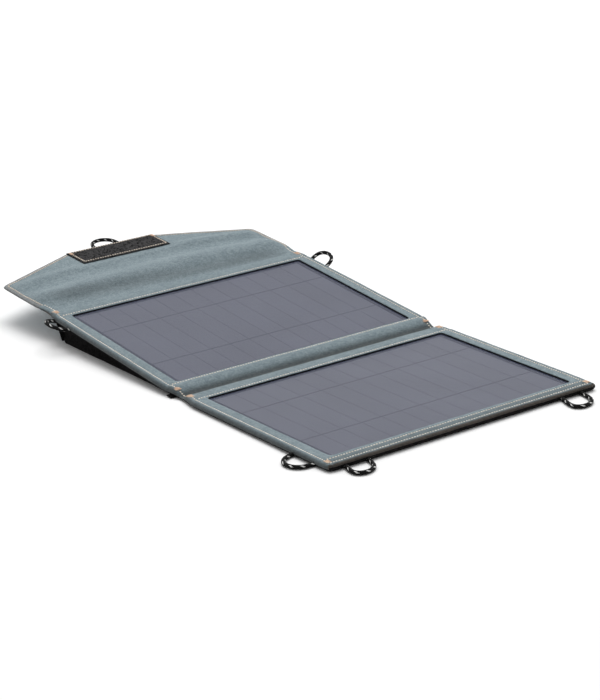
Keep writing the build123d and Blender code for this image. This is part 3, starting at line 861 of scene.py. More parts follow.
def rear_height(x, y):
    """Height of the rear panel's inner fabric."""
    z = FACE + through(FOLD_RELIEF, y)
    if y > WINDOW_FAR - 1:
        z = FACE + through(ROOT_RELIEF, y - WINDOW_FAR)
    return z + ripples(PANEL_RIPPLES, x, y, REAR_RIPPLE_SEED)


def side_drop(lane, top):
    """Height at a side lane, so that the roll always ends at its seam."""
    return top - lane.drop / SEAM_DROP * (top - (FACE - SEAM_DROP))


def front_point(lane, row):
    """Point of the front panel's inner fabric."""
    x, y = lane.across(PANEL_HALF), row.along(FRONT_END)
    top = front_height(x, y)
    z = min(side_drop(lane, top), top - row.drop)
    x, y = rounded(drawn_in(x, fold_pull(y)), y, FRONT_END)
    return FRONT.at(x, y, z)


def rear_point(lane, row):
    """Point of the rear panel's inner fabric."""
    x, y = lane.across(PANEL_HALF), row.along(REAR_END)
    top = rear_height(x, y)
    return REAR.at(drawn_in(x, rear_pull(y)), y, side_drop(lane, top))


def window_steps(start, end, count):
    """Places along the window, from edge to edge, with its corner roundings."""
    return [start, *steps(start + WINDOW_ROUNDING, end - WINDOW_ROUNDING, count), end]


def margin_lanes():
    """Lanes across a cover: rolled sides, margins and window."""
    left = [-WINDOW_HALF - away for away in MARGIN_LANES]
    right = [-x for x in reversed(left)]
    return lanes_across(SIDE_ROLL, [*left, *window_steps(-WINDOW_HALF, WINDOW_HALF, 24), *right])


def cover_rows(beyond):
    """Rows along a panel from the fold to some way beyond its window."""
    window = window_steps(WINDOW_NEAR, WINDOW_FAR, 20)
    return [Lane(0, y) for y in [*ROWS_BEFORE, *window, *(WINDOW_FAR + y for y in beyond)]]


def index_at(lanes, place):
    """Number of the lane or row at a fixed place."""
    return next(i for i, lane in enumerate(lanes) if not lane.side and lane.place == place)


def turn_window_down(mesh, frame_place):
    """Turns the fabric's edge down round the window."""
    made = bmesh.new()
    made.from_mesh(mesh)
    middle = frame_place.at(0, WINDOW_MIDDLE, FACE)
    edges = []
    for edge in made.edges:
        offset = (edge.verts[0].co + edge.verts[1].co) / 2 - middle
        inside = abs(offset.x) < (WINDOW_HALF + WINDOW_SLACK) * MM
        if edge.is_boundary and inside and abs(offset.y) < (WINDOW_HALF_LENGTH + WINDOW_SLACK) * MM:
            edges.append(edge)
    for sunk in WINDOW_TURN_DOWN:
        grown = bmesh.ops.extrude_edge_only(made, edges=edges)["geom"]
        edges = [g for g in grown if isinstance(g, bmesh.types.BMEdge) and g.is_boundary]
        for vert in (g for g in grown if isinstance(g, bmesh.types.BMVert)):
            vert.co -= frame_place.z * sunk * MM
            inward = middle - vert.co
            inward -= frame_place.z * inward.dot(frame_place.z)
            vert.co += inward.normalized() * WINDOW_TURN_IN * MM
    made.to_mesh(mesh)
    made.free()


def round_window(point, frame_place):
    """Pulls a window's corner points in to the edging's rounding."""
    local = point / MM - frame_place.origin
    x, y = local.dot(frame_place.x), local.dot(frame_place.y)
    for corner_y, way in ((WINDOW_NEAR, 1), (WINDOW_FAR, -1)):
        if max(abs(abs(x) - WINDOW_HALF), abs(y - corner_y)) < SAME_POINT:
            shift = frame_place.x * (-CORNER_SHIFT if x > 0 else CORNER_SHIFT)
            return point + (shift + frame_place.y * CORNER_SHIFT * way) * MM
    return point


def settled(painted_shade, place):
    """How dark one kind of painted shade makes a place."""
    weight, end, ramp = painted_shade
    return weight * smooth((end - place) / ramp)


def cover_shade(lane, row, way):
    """How dark a cover's colour is painted: painted shade under its rolled edges, in the fold and on the front
    margin.
    """
    side = settled(SIDE_SHADE, lane.place) if lane.side else 0.0
    if row.side:
        return max(side, settled(END_SHADE, row.place) if row.drop else 0.0, FRONT_SHADE)
    fold = settled(FOLD_SHADE, through(FOLD_RELIEF, way * row.place))
    fold *= settled(FOLD_SHADE_REACH, abs(row.place))
    margin = smooth((row.place - WINDOW_FAR) / FRONT_SHADE_RAMP) if way < 0 else 0.0
    return max(side, fold, FRONT_SHADE * margin)


def panel_cover(body, place, rows, point, material):
    """Inner fabric of a panel, with its window and rolled sides, as one soft piece."""
    lanes = margin_lanes()
    edge_in, edge_out = index_at(lanes, -WINDOW_HALF), index_at(lanes, WINDOW_HALF)
    near, far = index_at(rows, WINDOW_NEAR), index_at(rows, WINDOW_FAR)
    way = -1 if place is FRONT else 1
    points = [[round_window(point(lane, row), place) for lane in lanes] for row in rows]
    # Shade painted into each point's colour
    painted_shade = [[cover_shade(lane, row, way) for lane in lanes] for row in rows]

    def in_window(i, j):
        return edge_in <= i < edge_out and near <= j < far

    mesh = sheet_mesh(body + "_cover", points, UP, in_window, painted_shade)
    turn_window_down(mesh, place)
    made = show(body + "_cover", mesh, material)
    attach(made, body, "grey_fabric", body + "_face_cover", body + "_edge_binding")


def panel_covers(material):
    """Inner fabric of both panels: the front one is rolled over at its far end too."""
    front_rows = cover_rows(FRONT_ROWS_BEYOND) + [Lane(1, inset, drop) for inset, drop in FRONT_ROLL]
    panel_cover("front_panel", FRONT, front_rows, front_point, material)
    rear_rows = cover_rows(REAR_ROWS_BEYOND) + [Lane(0, REAR_END)]
    panel_cover("rear_panel", REAR, rear_rows, rear_point, material)


def fold_point(lane, s):
    """Point of the inner fabric that crosses the fold, s towards the rear."""
    x = lane.across(PANEL_HALF)
    weight = fold_share(s)
    top = (1 - weight) * front_height(-x, -s) + weight * rear_height(x, s)
    return at_fold(drawn_in(x, fold_pull(s)), s, side_drop(lane, top))


def fold_cover(material):
    """Inner fabric over the soft fold between the panels."""
    lanes = margin_lanes()
    along = steps(-HALF_WEB, HALF_WEB, 14)
    rows = [[fold_point(lane, s) for lane in lanes] for s in along]
    # Shade painted into each point's colour
    painted_shade = [[cover_shade(lane, Lane(0, s), 1) for lane in lanes] for s in along]
    made = surface("fold_cover", rows, UP, material, painted_shade=painted_shade)
    bend_with_fold(made)
    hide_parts("fold_web")


# ---- backs of the panels


def back_point(place, lane, row):
    """Point of a panel's outer fabric: flat below, turned up at its edges."""
    x, y = lane.across(PANEL_HALF - BACK_INSET), row.along(BACK_FRONT_END if place is FRONT else REAR_END)
    inner = smooth((PANEL_HALF - abs(x) - BACK_SWELL_START) / BACK_SWELL_RAMP)
    z = max(lane.drop, row.drop, (BACK_RISE + BACK_SWELL * ripple(x, y, 30.0, 4.0)) * inner)
    if place is FRONT:
        x, y = rounded(drawn_in(x, fold_pull(y)), y, BACK_FRONT_END)
        return place.at(x, y, z)
    return place.at(drawn_in(x, rear_pull(y)), y, z)


def back_rows(turn):
    """Rows of a back, from the fold, where it lifts a little, to its turned-up far edge."""
    rows = [Lane(0, HALF_WEB, BACK_RISE)]
    rows += [Lane(0, y) for y in steps(HALF_WEB, BACK_FLAT_END, 20)[1:]]
    return rows + [Lane(1, inset, rise) for inset, rise in turn]


def backs(material):
    """Outer fabric of both panels, and the strip of it that crosses the fold."""
    lanes = lanes_across(SIDE_TURN, steps(-BACK_HALF, BACK_HALF, 18))
    for body, turn in (("front_panel", FRONT_TURN), ("rear_panel", REAR_TURN)):
        rows = [[back_point(PLACES[body], lane, row) for lane in lanes] for row in back_rows(turn)]
        piece = surface(body + "_back", rows, -UP, material)
        attach(piece, body, "black_fabric", body + "_back_cover")

    rows = []
    for s in steps(-HALF_WEB, HALF_WEB, 10):
        rise = BACK_RISE + FOLD_BACK_RISE * (1 - (s / HALF_WEB) ** 2)
        places = [drawn_in(lane.across(PANEL_HALF - BACK_INSET), fold_pull(s)) for lane in lanes]
        rows.append([at_fold(x, s, max(lane.drop, rise)) for x, lane in zip(places, lanes)])
    strip = surface("fold_back", rows, -UP, material)
    bend_with_fold(strip)


# ---- flap


def flap_half(y):
    """Half the flap's width, that far from its root."""
    beyond = y - FLAP_STRAIGHT
    lost = FLAP_SLANT * (((beyond**2 + FLAP_CORNER_EASE**2) ** 0.5 + beyond) / 2)
    return PANEL_HALF - root_pull(y) - lost


def flap_inset(y):
    """How much wider an inset measures across the flap's slanted sides."""
    return 1 + ((1 + FLAP_SLANT**2) ** 0.5 - 1) * smooth((y - FLAP_STRAIGHT + SLANT_EASE / 2) / SLANT_EASE)


def flap_lanes(roll):
    """Lanes across the flap, as shares of its width between the rolled sides."""
    return lanes_across(roll, steps(-1.0, 1.0, 36))


def flap_rows(roll):
    """Rows along the flap, closer together where it narrows."""
    rows = [Lane(0, y) for stretch in FLAP_ROWS for y in steps(*stretch)]
    return rows + [Lane(1, inset, drop) for inset, drop in roll]


def flap_grid(roll, value):
    """Values over the flap's grid, whose edges follow a roll."""
    lanes = flap_lanes(roll)
    return [[value(lane, row) for lane in lanes] for row in flap_rows(roll)]


def flap_spot(lane, row):
    """Where a flap lane and row cross: across, along."""
    y = row.along(FLAP_REACH)
    half, widened = flap_half(y), flap_inset(y)
    if lane.side:
        return lane.side * (half - lane.place * widened), y
    return lane.place * (half - FLAP_ROLL[0][0] * widened - LANE_GAP), y


def flap_hollow(x, y):
    """How deep a spot lies in the hollow before the flap's main fold, from 0 to 1."""
    away = y - HOLLOW_MIDDLE - HOLLOW_SLANT * x - FOLD_WANDER * ripple(x, 0, 45.0, 2.0)
    share = min(1.0, abs(away) / (HOLLOW_BEFORE if away < 0 else HOLLOW_AFTER))
    return cos(share * pi / 2) ** 2 * smooth((flap_half(y) - abs(x)) / HOLLOW_MARGIN)


def flap_relief(x, y):
    """Soft folds that arch across the flap, and its ripples."""
    height = 0.0
    for size, before, after, crest, arc in FLAP_FOLDS:
        line = crest - arc * (x / ARC_REACH) ** 2 + FOLD_WANDER * ripple(x, 0, 60.0, crest)
        away = y - line
        width = before if away < 0 else after
        if abs(away) < width:
            height += size * cos(away / width * pi / 2) ** 2
    start = HOOK_PATCH_NEAR - PATCH_CLEAR
    beside = smooth((abs(x) - HOOK_PATCH_HALF + PATCH_SIDE_MARGIN) / PATCH_SIDE_RAMP) if y > start else 1.0
    patch = max(beside, 1 - smooth((y - start) / PATCH_RAMP))
    hem = smooth((flap_half(y) - abs(x)) / HEM_CLEAR) * smooth((FLAP_REACH - y) / HEM_CLEAR)
    waves = ripples(FLAP_RIPPLES, x, y) * smooth((FLAP_REACH - y) / RIPPLE_CLEAR)
    return height * patch * hem + waves


def flap_top_point(lane, row):
    """Point of the flap's inner fabric."""
    x, y = flap_spot(lane, row)
    top = FACE + flap_relief(x, y)
    return FLAP.at(x, y, max(top - max(lane.drop, row.drop), FLAP_UNDERSIDE + FLAP_HEM_LIFT))


def flap_back_point(lane, row):
    """Point of the flap's outer fabric."""
    return FLAP.at(*flap_spot(lane, row), FLAP_UNDERSIDE + max(lane.drop, row.drop))


def flap_shade(lane, row):
    """How dark the flap's cover is painted: painted shade under its rolled hem and in its hollow."""
    ramp = FLAP_SEAM_DROP - 2 * HEM_SHADE_START
    hem = smooth((max(lane.drop, row.drop) - HEM_SHADE_START) / ramp)
    return max(hem, HOLLOW_SHADE * flap_hollow(*flap_spot(lane, row)))


def root_point(lane, t):
    """Point of the inner fabric at the flap's root, t outwards from the rear panel."""
    weight = smooth(t / FLAP_WEB)
    half = PANEL_HALF - root_pull(t)
    inner = half - SIDE_ROLL[0][0] * (1 - weight) - FLAP_ROLL[0][0] * weight - LANE_GAP
    x = lane.across(half) if lane.side else lane.place * inner
    plain = FACE + through(ROOT_RELIEF, t + REAR_END - WINDOW_FAR)
    plain += ripples(PANEL_RIPPLES, x, REAR_END + t, REAR_RIPPLE_SEED)
    top = plain * (1 - weight) + (FACE + flap_relief(x, t)) * weight
    return at_root(x, t, top - lane.drop)


def turning_lanes(weight):
    """Lanes whose rolled sides turn from the rear panel's roll into the flap's."""
    roll = []
    for rear, flap in zip(SIDE_ROLL, FLAP_ROLL):
        roll.append([own * (1 - weight) + other * weight for own, other in zip(rear, flap)])
    return flap_lanes(roll)


def root_cover(material):
    """Inner fabric across the flap's fold line."""
    rows, painted_shade = [], []
    for t in steps(0, FLAP_WEB, 12):
        lanes = turning_lanes(smooth(t / FLAP_WEB))
        rows.append([root_point(lane, t) for lane in lanes])
        # Shade painted into each point's colour
        painted_shade.append([flap_shade(lane, Lane(0, t)) for lane in lanes])
    made = surface("flap_root_cover", rows, UP, material, painted_shade=painted_shade)
    bend_with_root(made)
    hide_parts("flap_web")


def root_back(material):
    """Outer fabric across the flap's fold line."""
    rows = []
    for t in steps(0, FLAP_WEB, 10):
        half = PANEL_HALF - root_pull(t)
        rise = FLAP_UNDERSIDE + SEAM_GAP - ROOT_BACK_SAG * sin(pi * t / FLAP_WEB)
        line = []
        for lane in lanes_across(ROOT_TURN, steps(-1.0, 1.0, 20)):
            x = lane.across(half) if lane.side else lane.place * (half - ROOT_BACK_INSET)
            line.append(at_root(x, t, rise + lane.drop))
        rows.append(line)
    made = surface("flap_root_back", rows, -UP, material)
    bend_with_root(made)


def flap_covers(material, hem_material):
    """Inner fabric of the flap and its rolled hem, its outer fabric, and that of its root."""
    points = flap_grid(FLAP_ROLL, flap_top_point)
    # Shade painted into each point's colour
    painted_shade = flap_grid(FLAP_ROLL, flap_shade)
    rolled = len(FLAP_ROLL) - 1 - [knot[0] for knot in FLAP_ROLL].index(FLAP_ROW)

    def inside(i, j):
        return rolled <= i < len(points[0]) - 1 - rolled and j < len(points) - 1 - rolled

    hem = surface("flap_hem", points, UP, hem_material, inside, painted_shade)
    attach(hem, "flap", "grey_fabric", "flap_edge_binding")
    top = surface("flap_cover", points, UP, material, lambda i, j: not inside(i, j), painted_shade)
    attach(top, "flap", "grey_fabric", "flap_face_cover")
    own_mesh(top)
    back = surface("flap_back", flap_grid(FLAP_TURN, flap_back_point), -UP, material)
    attach(back, "flap", "grey_fabric", "flap_back_cover")
    root_back(material)


# ---- patches, tapes and closure


def soft_steps(low, high, edge):
    """Places across a slab, close together at both edges."""
    inner = steps(low + edge * 2, high - edge * 2, max(4, int((high - low) / SLAB_SPACING)))
    return [low, low + edge * 0.3, low + edge, *inner, high - edge, high - edge * 0.3, high]


def slab(name, place, across, along, level, material, crown=0.0, edge=SLAB_EDGE):
    """Thin soft slab between two places each way, its edges rounded and its face slightly crowned."""
    middle = (level[0] + level[1]) / 2
    thickness = level[1] - level[0]

    def height(x, y, top):
        margin = min(x - across[0], across[1] - x, y - along[0], along[1] - y)
        swell = thickness / 2 * (1 - (1 - min(1.0, margin / edge)) ** 2) ** 0.5
        lift = crown * smooth(margin / CROWN_RAMP) * (1 + CROWN_RIPPLE * ripple(x, y, 14.0))
        return middle + (swell + lift) if top else middle - swell

    made = bmesh.new()
    for top in (True, False):
        grid = []
        for y in soft_steps(*along, edge):
            grid.append([place.at(x, y, height(x, y, top)) for x in soft_steps(*across, edge)])
        part = sheet_mesh(name, grid, place.z if top else -place.z)
        made.from_mesh(part)
        bpy.data.meshes.remove(part)
    bmesh.ops.remove_doubles(made, verts=made.verts, dist=SAME_POINT * MM)
    mesh = bpy.data.meshes.new(name)
    made.to_mesh(mesh)
    made.free()
    return show(name, mesh, material)


def patches(hook, loop):
    """Hook patch on the flap, and the loop patch on the front panel's back that it closes on."""
    across, along = (-HOOK_PATCH_HALF, HOOK_PATCH_HALF), (HOOK_PATCH_NEAR, HOOK_PATCH_FAR)
    level = (FACE - HOOK_PATCH_SUNK, FACE + HOOK_PATCH_HEIGHT)
    patch = slab("hook_patch", FLAP, across, along, level, hook, crown=0.25)
    attach(patch, "flap", "hook_tape", "flap_hook_patch")
    across, along = (-LOOP_PATCH_HALF, LOOP_PATCH_HALF), (LOOP_PATCH_NEAR, LOOP_PATCH_FAR)
    patch = slab("loop_patch", FRONT, across, along, (0.0, LOOP_PATCH_THICKNESS), loop)
    attach(patch, "front_panel", "loop_tape", "front_panel_loop_patch")


def closure(hook, loop, black):
    """The tape strip in the pocket's mouth, the strip that meets it, and the closure over them."""
    across, along = (-TAPE_HALF, TAPE_HALF), (LIP_HEIGHT - TAPE_WIDTH, LIP_HEIGHT)
    strip = slab("mouth_strip", MOUTH, across, along, (0.0, TAPE_THICKNESS), loop, edge=TAPE_EDGE)
    attach(strip, "rear_panel", "loop_tape", "pocket_loop_strip")
    base = TAPE_THICKNESS + SEAM_GAP
    strip = slab("closure_strip", MOUTH, across, along, (base, base + TAPE_THICKNESS), hook, edge=TAPE_EDGE)
    attach(strip, "pocket_closure", "hook_tape", "closure_hook_strip")
    base += TAPE_THICKNESS
    across, along = (-CLOSURE_HALF, CLOSURE_HALF), (CLOSURE_FOOT, CLOSURE_TOP)
    level = (base, base + POCKET_SHEET)
    cover = slab("pocket_closure_cover", MOUTH, across, along, level, black, crown=0.3)
    attach(cover, "pocket_closure", "black_fabric", "closure_cover")


# ---- pocket


def pocket_roof(y):
    """Height of the rear panel's underside above the ground, at a world Y."""
    return REAR.origin.z + tan(REAR_TILT) * (y - REAR.origin.y)


def pocket_point(side, share, t):
    """Point of the pocket's side wall: share of the height from 0 to 1, t from front to rear."""
    start = (REAR.at(0, POCKET_FRONT, 0) / MM).y
    y = start + t * (FOLD_Y + POCKET_REAR - start)
    z = share * max(0.1, pocket_roof(y) - POCKET_GAP)
    sag = POCKET_SAG * sin(pi * share) * smooth(t * 1.3) + POCKET_WAVE * ripple(y, z * 3, 26.0, side)
    hem = POCKET_HEM * (1 - smooth(share / POCKET_HEM_SHARE))
    x = side * (POCKET_HALF - POCKET_SIDE_GAP - max(0.0, sag * smooth(t * 2)) - hem)
    return Vector((x, y + z * tan(MOUTH_LEAN) * t, z)) * MM


def pocket_floor(t, places):
    """Points of the pocket's soft bottom, turned up at the mouth."""
    y = pocket_point(1, 0.0, t).y / MM
    turned = POCKET_TURN * (1 - smooth((1 - t) / POCKET_TURN_SHARE))
    highest = max(POCKET_GAP, pocket_roof(y) - 0.1)
    line = []
    for x in places:
        z = FLOOR_SWELL + FLOOR_SWELL * ripple(x, y, 40.0, 2.0) + turned
        line.append(Vector((x, y, min(z, highest))) * MM)
    return line


def pocket_lip(places):
    """Points of the upright lip along the mouth's lower edge."""
    lanes = [-POCKET_HALF + LIP_INSET, *places, POCKET_HALF - LIP_INSET]
    rows = []
    for y in LIP_STEPS:
        z = -LIP_DEPTH - LIP_FOOT_DEPTH * (1 - smooth(y / LIP_FOOT))
        rows.append([MOUTH.at(x, y, z) for x in lanes])
    return rows


def pocket(material):
    """Fabric pocket under the rear panel: drawn-in sides, soft bottom, open at the rear."""
    places = steps(-POCKET_HALF + FLOOR_INSET, POCKET_HALF - FLOOR_INSET, 22)
    rows = []
    for t in [*steps(0.0, 0.94, 26), 0.96, 0.98, 0.992, 1.0]:
        line = [pocket_point(-1, share, t) for share in POCKET_SHARES]
        line += pocket_floor(t, places)
        line += [pocket_point(1, share, t) for share in reversed(POCKET_SHARES)]
        rows.append(line)
    mesh = sheet_mesh("pocket", rows, -UP)
    lip = sheet_mesh("pocket_lip", pocket_lip(places), MOUTH.z)
    body = bmesh.new()
    body.from_mesh(mesh)
    body.from_mesh(lip)
    body.to_mesh(mesh)
    body.free()
    bpy.data.meshes.remove(lip)
    made = show("pocket", mesh, material)
    skin = made.modifiers.new("skin", "SOLIDIFY")
    skin.thickness = LINING * MM
    skin.offset = -1.0
    attach(made, "rear_panel", "black_fabric", "pocket_shell")


def pocket_tab(material):
    """Folded end of the pocket's front hem, which peeps out under the rear panel's corner."""
    tab = slab("pocket_tab", REAR, TAB_ACROSS, TAB_ALONG, TAB_LEVEL, material, crown=0.2)
    for vert in tab.data.vertices:
        vert.co.z = max(vert.co.z, POCKET_GAP * MM)
    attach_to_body(tab, "rear_panel")


# ---- stitching


def add_stitch(made, start, end, up, radius):
    """One stitch: a short thread that rises out of the fabric and dives back in."""
    along = end - start
    length = along.length
    if length < SHORTEST_STITCH:
        return
    along.normalize()
    side = along.cross(up).normalized()
    lift = side.cross(along).normalized()
    rings = []
    for share, size, rise in STITCH_SHAPE:
        middle = start + along * length * share + lift * rise * radius * STITCH_FLATNESS
        ring = []
        for k in range(STITCH_SIDES):
            turn = 2 * pi * k / STITCH_SIDES
            reach = side * cos(turn) + lift * sin(turn) * STITCH_FLATNESS
            ring.append(made.verts.new(middle + reach * radius * size))
        rings.append(ring)
    for before, after in zip(rings, rings[1:]):
        for k in range(STITCH_SIDES):
            j = (k + 1) % STITCH_SIDES
            made.faces.new((before[k], before[j], after[j], after[k]))
    made.faces.new(list(reversed(rings[0])))
    made.faces.new(rings[-1])


def sew(made, spots, place, dice):
    """Row of stitches through spots on a surface."""
    lengths = [(b - a).length for a, b in zip(spots, spots[1:])]
    total = sum(lengths)
    count = max(1, round(total / (STITCH_PITCH * MM)))

    def walk(distance):
        for a, b, length in zip(spots, spots[1:], lengths):
            if distance <= length:
                return a.lerp(b, distance / length)
            distance -= length
        return spots[-1].copy()

    for k in range(count):
        jitter = dice.uniform(-STITCH_JITTER, STITCH_JITTER)
        start = (k + (1 - STITCH_SHARE) / 2 + jitter) * total / count
        end = start + STITCH_SHARE * total / count
        wander = place.x * dice.uniform(-STITCH_WANDER, STITCH_WANDER) * MM
        wander += place.y * dice.uniform(-STITCH_WANDER, STITCH_WANDER) * MM
        first, last = walk(max(0, start)) + wander, walk(min(total, end)) - wander
        add_stitch(made, first, last, place.z, STITCH_RADIUS * MM)


def sew_runs(made, place, spot, runs, dice):
    """Rows of stitches along straight runs of x and y, each from one end to the other."""
    for (x0, y0), (x1, y1) in runs:
        count = max(2, int((abs(x1 - x0) + abs(y1 - y0)) / SPOT_PITCH))
        spots = [spot(x, y) for x, y in zip(steps(x0, x1, count), steps(y0, y1, count))]
        sew(made, spots, place, dice)


def side_valley(x):
    """Depth of the stitched valley just inside a panel's rolled sides."""
    return fade(PANEL_HALF - abs(x) - SIDE_ROW, EDGE_VALLEY, EDGE_VALLEY_REACH)


def front_spot(x, y):
    """Where thread lies on the front panel's fabric."""
    valley = fade(FRONT_END - y - FRONT_OUTER_ROW, EDGE_VALLEY, EDGE_VALLEY_REACH)
    z = front_height(x, y) - max(side_valley(x), valley) + STITCH_RISE
    return FRONT.at(drawn_in(x, fold_pull(y)), y, z)


def rear_spot(x, y):
    """Where thread lies on the rear panel's fabric."""
    return REAR.at(drawn_in(x, rear_pull(y)), y, rear_height(x, y) - side_valley(x) + STITCH_RISE)


def front_stitching(made, dice):
    """Sides, the doubled front band and the row beside the fold."""
    side = PANEL_HALF - SIDE_ROW
    short = side - ROW_SETBACK
    outer = FRONT_END - FRONT_OUTER_ROW
    runs = [((x, HALF_WEB), (x, outer)) for x in (-side, side)]
    runs.append(((-side, outer), (side, outer)))
    runs += [((-short, y), (short, y)) for y in (FRONT_END - FRONT_INNER_ROW, NEAR_ROW)]
    sew_runs(made, FRONT, front_spot, runs, dice)


def rear_stitching(made, dice):
    """Sides and the rows beside both ends of the window."""
    side = PANEL_HALF - SIDE_ROW
    short = side - ROW_SETBACK
    runs = [((x, HALF_WEB), (x, REAR_END)) for x in (-side, side)]
    runs += [((-short, y), (short, y)) for y in (REAR_NEAR_ROW, REAR_FAR_ROW)]
    sew_runs(made, REAR, rear_spot, runs, dice)


def crossing_rows(made, point, ends, dice):
    """Side rows where they cross a soft fold."""
    for side in (-1, 1):
        lane = Lane(side, SIDE_ROW, CROSSING_DROP)
        sew(made, [point(lane, s) + UP * STITCH_RISE * MM for s in steps(*ends, 12)], REAR, dice)


def fold_stitching(made, dice):
    """Side rows across the fold."""
    crossing_rows(made, fold_point, (-HALF_WEB, HALF_WEB), dice)


def root_stitching(made, dice):
    """Side rows across the flap's root."""
    crossing_rows(made, root_point, (0, FLAP_WEB), dice)


def flap_stitching(made, dice):
    """Hem of the flap along both sides and their slants, from the root to the tip."""
    for side in (-1, 1):
        spots = []
        for along in steps(FLAP_WEB, FLAP_REACH - FLAP_ROW, 60):
            x, y = flap_spot(Lane(side, FLAP_ROW), Lane(0, along))
            spots.append(FLAP.at(x, y, FACE + flap_relief(x, y) - HEM_VALLEY + STITCH_RISE))
        sew(made, spots, FLAP, dice)


def patch_stitching(made, dice):
    """Row round the hook patch."""
    half = HOOK_PATCH_HALF - PATCH_ROW
    near, far = HOOK_PATCH_NEAR + PATCH_ROW, HOOK_PATCH_FAR - PATCH_ROW
    z = FACE + HOOK_PATCH_HEIGHT + STITCH_RISE
    corners = [(-half, near), (half, near), (half, far), (-half, far), (-half, near)]
    spots = [FLAP.at(x, y, z) for x, y in corners]
    for ends in zip(spots, spots[1:]):
        sew(made, ends, FLAP, dice)


def tack(made, middle, along, across, dice, turns=5, length=6.0):
    """Bar tack: a tight zigzag of thread at the end of a row."""
    for k in range(turns):
        offset = along * (k - turns / 2) * TACK_PITCH * MM
        lean = along * dice.uniform(-TACK_LEAN, TACK_LEAN) * MM
        raised = middle + offset + UP * TACK_RISE * MM
        half = across * length / 2 * MM
        add_stitch(made, raised - half, raised + half + lean, UP, TACK_RADIUS * MM)


def rear_tacks(made, dice):
    """Bar tacks of the rear panel at its four corners."""
    side = PANEL_HALF - SIDE_ROW
    for x in (-side, side):
        for y in (FOLD_TACK, REAR_END - ROOT_TACK):
            tack(made, rear_spot(x, y), REAR.y, REAR.x, dice)


def front_tacks(made, dice):
    """Bar tacks of the front panel beside the fold and at the front corners."""
    side = PANEL_HALF - SIDE_ROW
    for x in (-side, side):
        tack(made, front_spot(x, FOLD_TACK), FRONT.y, FRONT.x, dice)
        tack(made, front_spot(x, FRONT_END - FRONT_TACK), FRONT.x, FRONT.y, dice, turns=4)


def patch_tacks(made, dice):
    """Bar tacks at the hook patch's two far corners."""
    z = FACE + HOOK_PATCH_HEIGHT + STITCH_RISE
    half = HOOK_PATCH_HALF - PATCH_ROW
    for x in (-half, half):
        corner = FLAP.at(x, HOOK_PATCH_FAR - PATCH_ROW - PATCH_TACK, z)
        tack(made, corner, FLAP.y, FLAP.x, dice, length=3.5)


def threads(name, material, sewing):
    """One piece of thread, made by a function that sews its rows."""
    made = bmesh.new()
    sewing(made, random.Random(SEED + len(name)))
    bmesh.ops.recalc_face_normals(made, faces=made.faces)
    mesh = bpy.data.meshes.new(name)
    made.to_mesh(mesh)
    made.free()
    return show(name, mesh, material)


def stitching(cream, tan_coloured, orange):
    """All the visible sewing."""
    for name, material, sewing, body in (
        ("front_panel_stitching", cream, front_stitching, "front_panel"),
        ("rear_panel_stitching", cream, rear_stitching, "rear_panel"),
        ("flap_stitching", tan_coloured, flap_stitching, "flap"),
        ("hook_patch_stitching", tan_coloured, patch_stitching, "flap"),
        ("rear_panel_bar_tacks", orange, rear_tacks, "rear_panel"),
        ("front_panel_bar_tacks", orange, front_tacks, "front_panel"),
        ("hook_patch_bar_tacks", orange, patch_tacks, "flap"),
    ):
        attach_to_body(threads(name, material, sewing), body)
    bend_with_fold(threads("fold_stitching", cream, fold_stitching))
    bend_with_root(threads("flap_root_stitching", cream, root_stitching))


# ---- loops


def loop_frame(place, outward, lift):
    """A loop's own directions: across, outwards and up from its plane."""
    out = place.x * outward[0] + place.y * outward[1]
    across = out.cross(place.z)
    normal = place.z * cos(lift) - out * sin(lift)
    return across, normal.cross(across), normal


def loop_route(spread, bulge, reach, lean):
    """Given points of a loop in its own plane, root to root."""
    shoulder = reach - SHOULDER_DROP * bulge
    tip = TIP_SHARE * bulge
    return [
        (-spread, ROOT_GAP),
        (-bulge + SHOULDER_LEAN * lean, shoulder),
        (-tip + lean, reach),
        (tip + lean, reach),
        (bulge + SHOULDER_LEAN * lean, shoulder),
        (spread, ROOT_GAP),
    ]


def spline_points(name, points):
    """Points along the smooth line that a NURBS spline makes of a route."""
    curve = bpy.data.curves.new(name, "CURVE")
    curve.dimensions = "3D"
    curve.resolution_u = 12
    spline = curve.splines.new("NURBS")
    spline.points.add(len(points) - 1)
    for control, point in zip(spline.points, points):
        control.co = (*point, 1.0)
    spline.order_u = 3
    spline.use_endpoint_u = True
    holder = bpy.data.objects.new(name + "_route", curve)
    bpy.context.scene.collection.objects.link(holder)
    line = bpy.data.meshes.new_from_object(holder)
    found = [vertex.co.copy() for vertex in line.vertices]
    bpy.data.objects.remove(holder)
    bpy.data.curves.remove(curve)
    bpy.data.meshes.remove(line)
    return found


def cord_mesh(name, path, normal):
    """Round cord along a path, its ends carried on into the seam, with a map for its braid."""
    start = path[0] + (path[0] - path[1]).normalized() * SEWN_IN * MM
    end = path[-1] + (path[-1] - path[-2]).normalized() * SEWN_IN * MM
    line = [start, *path, end]
    radius = CORD_DIAMETER / 2 * MM
    vertices, travelled = [], [0.0]
    for k, point in enumerate(line):
        ahead = line[min(k + 1, len(line) - 1)] - line[max(k - 1, 0)]
        side = ahead.normalized().cross(normal).normalized()
        for turn in steps(0, 2 * pi, CORD_SIDES)[:-1]:
            vertices.append(point + (side * cos(turn) + normal * sin(turn)) * radius)
        if k:
            travelled.append(travelled[-1] + (point - line[k - 1]).length / MM)
    faces, marks = [], []
    for k in range(len(line) - 1):
        for i in range(CORD_SIDES):
            corners = ((k, i), (k, i + 1), (k + 1, i + 1), (k + 1, i))
            faces.append([ring * CORD_SIDES + turn % CORD_SIDES for ring, turn in corners])
            marks += [(travelled[ring], turn / CORD_SIDES) for ring, turn in corners]
    mesh = bpy.data.meshes.new(name)
    mesh.from_pydata(vertices, [], faces)
    layer = mesh.uv_layers.new(name="cord")
    for corner, mark in zip(layer.data, marks):
        corner.uv = mark
    return mesh


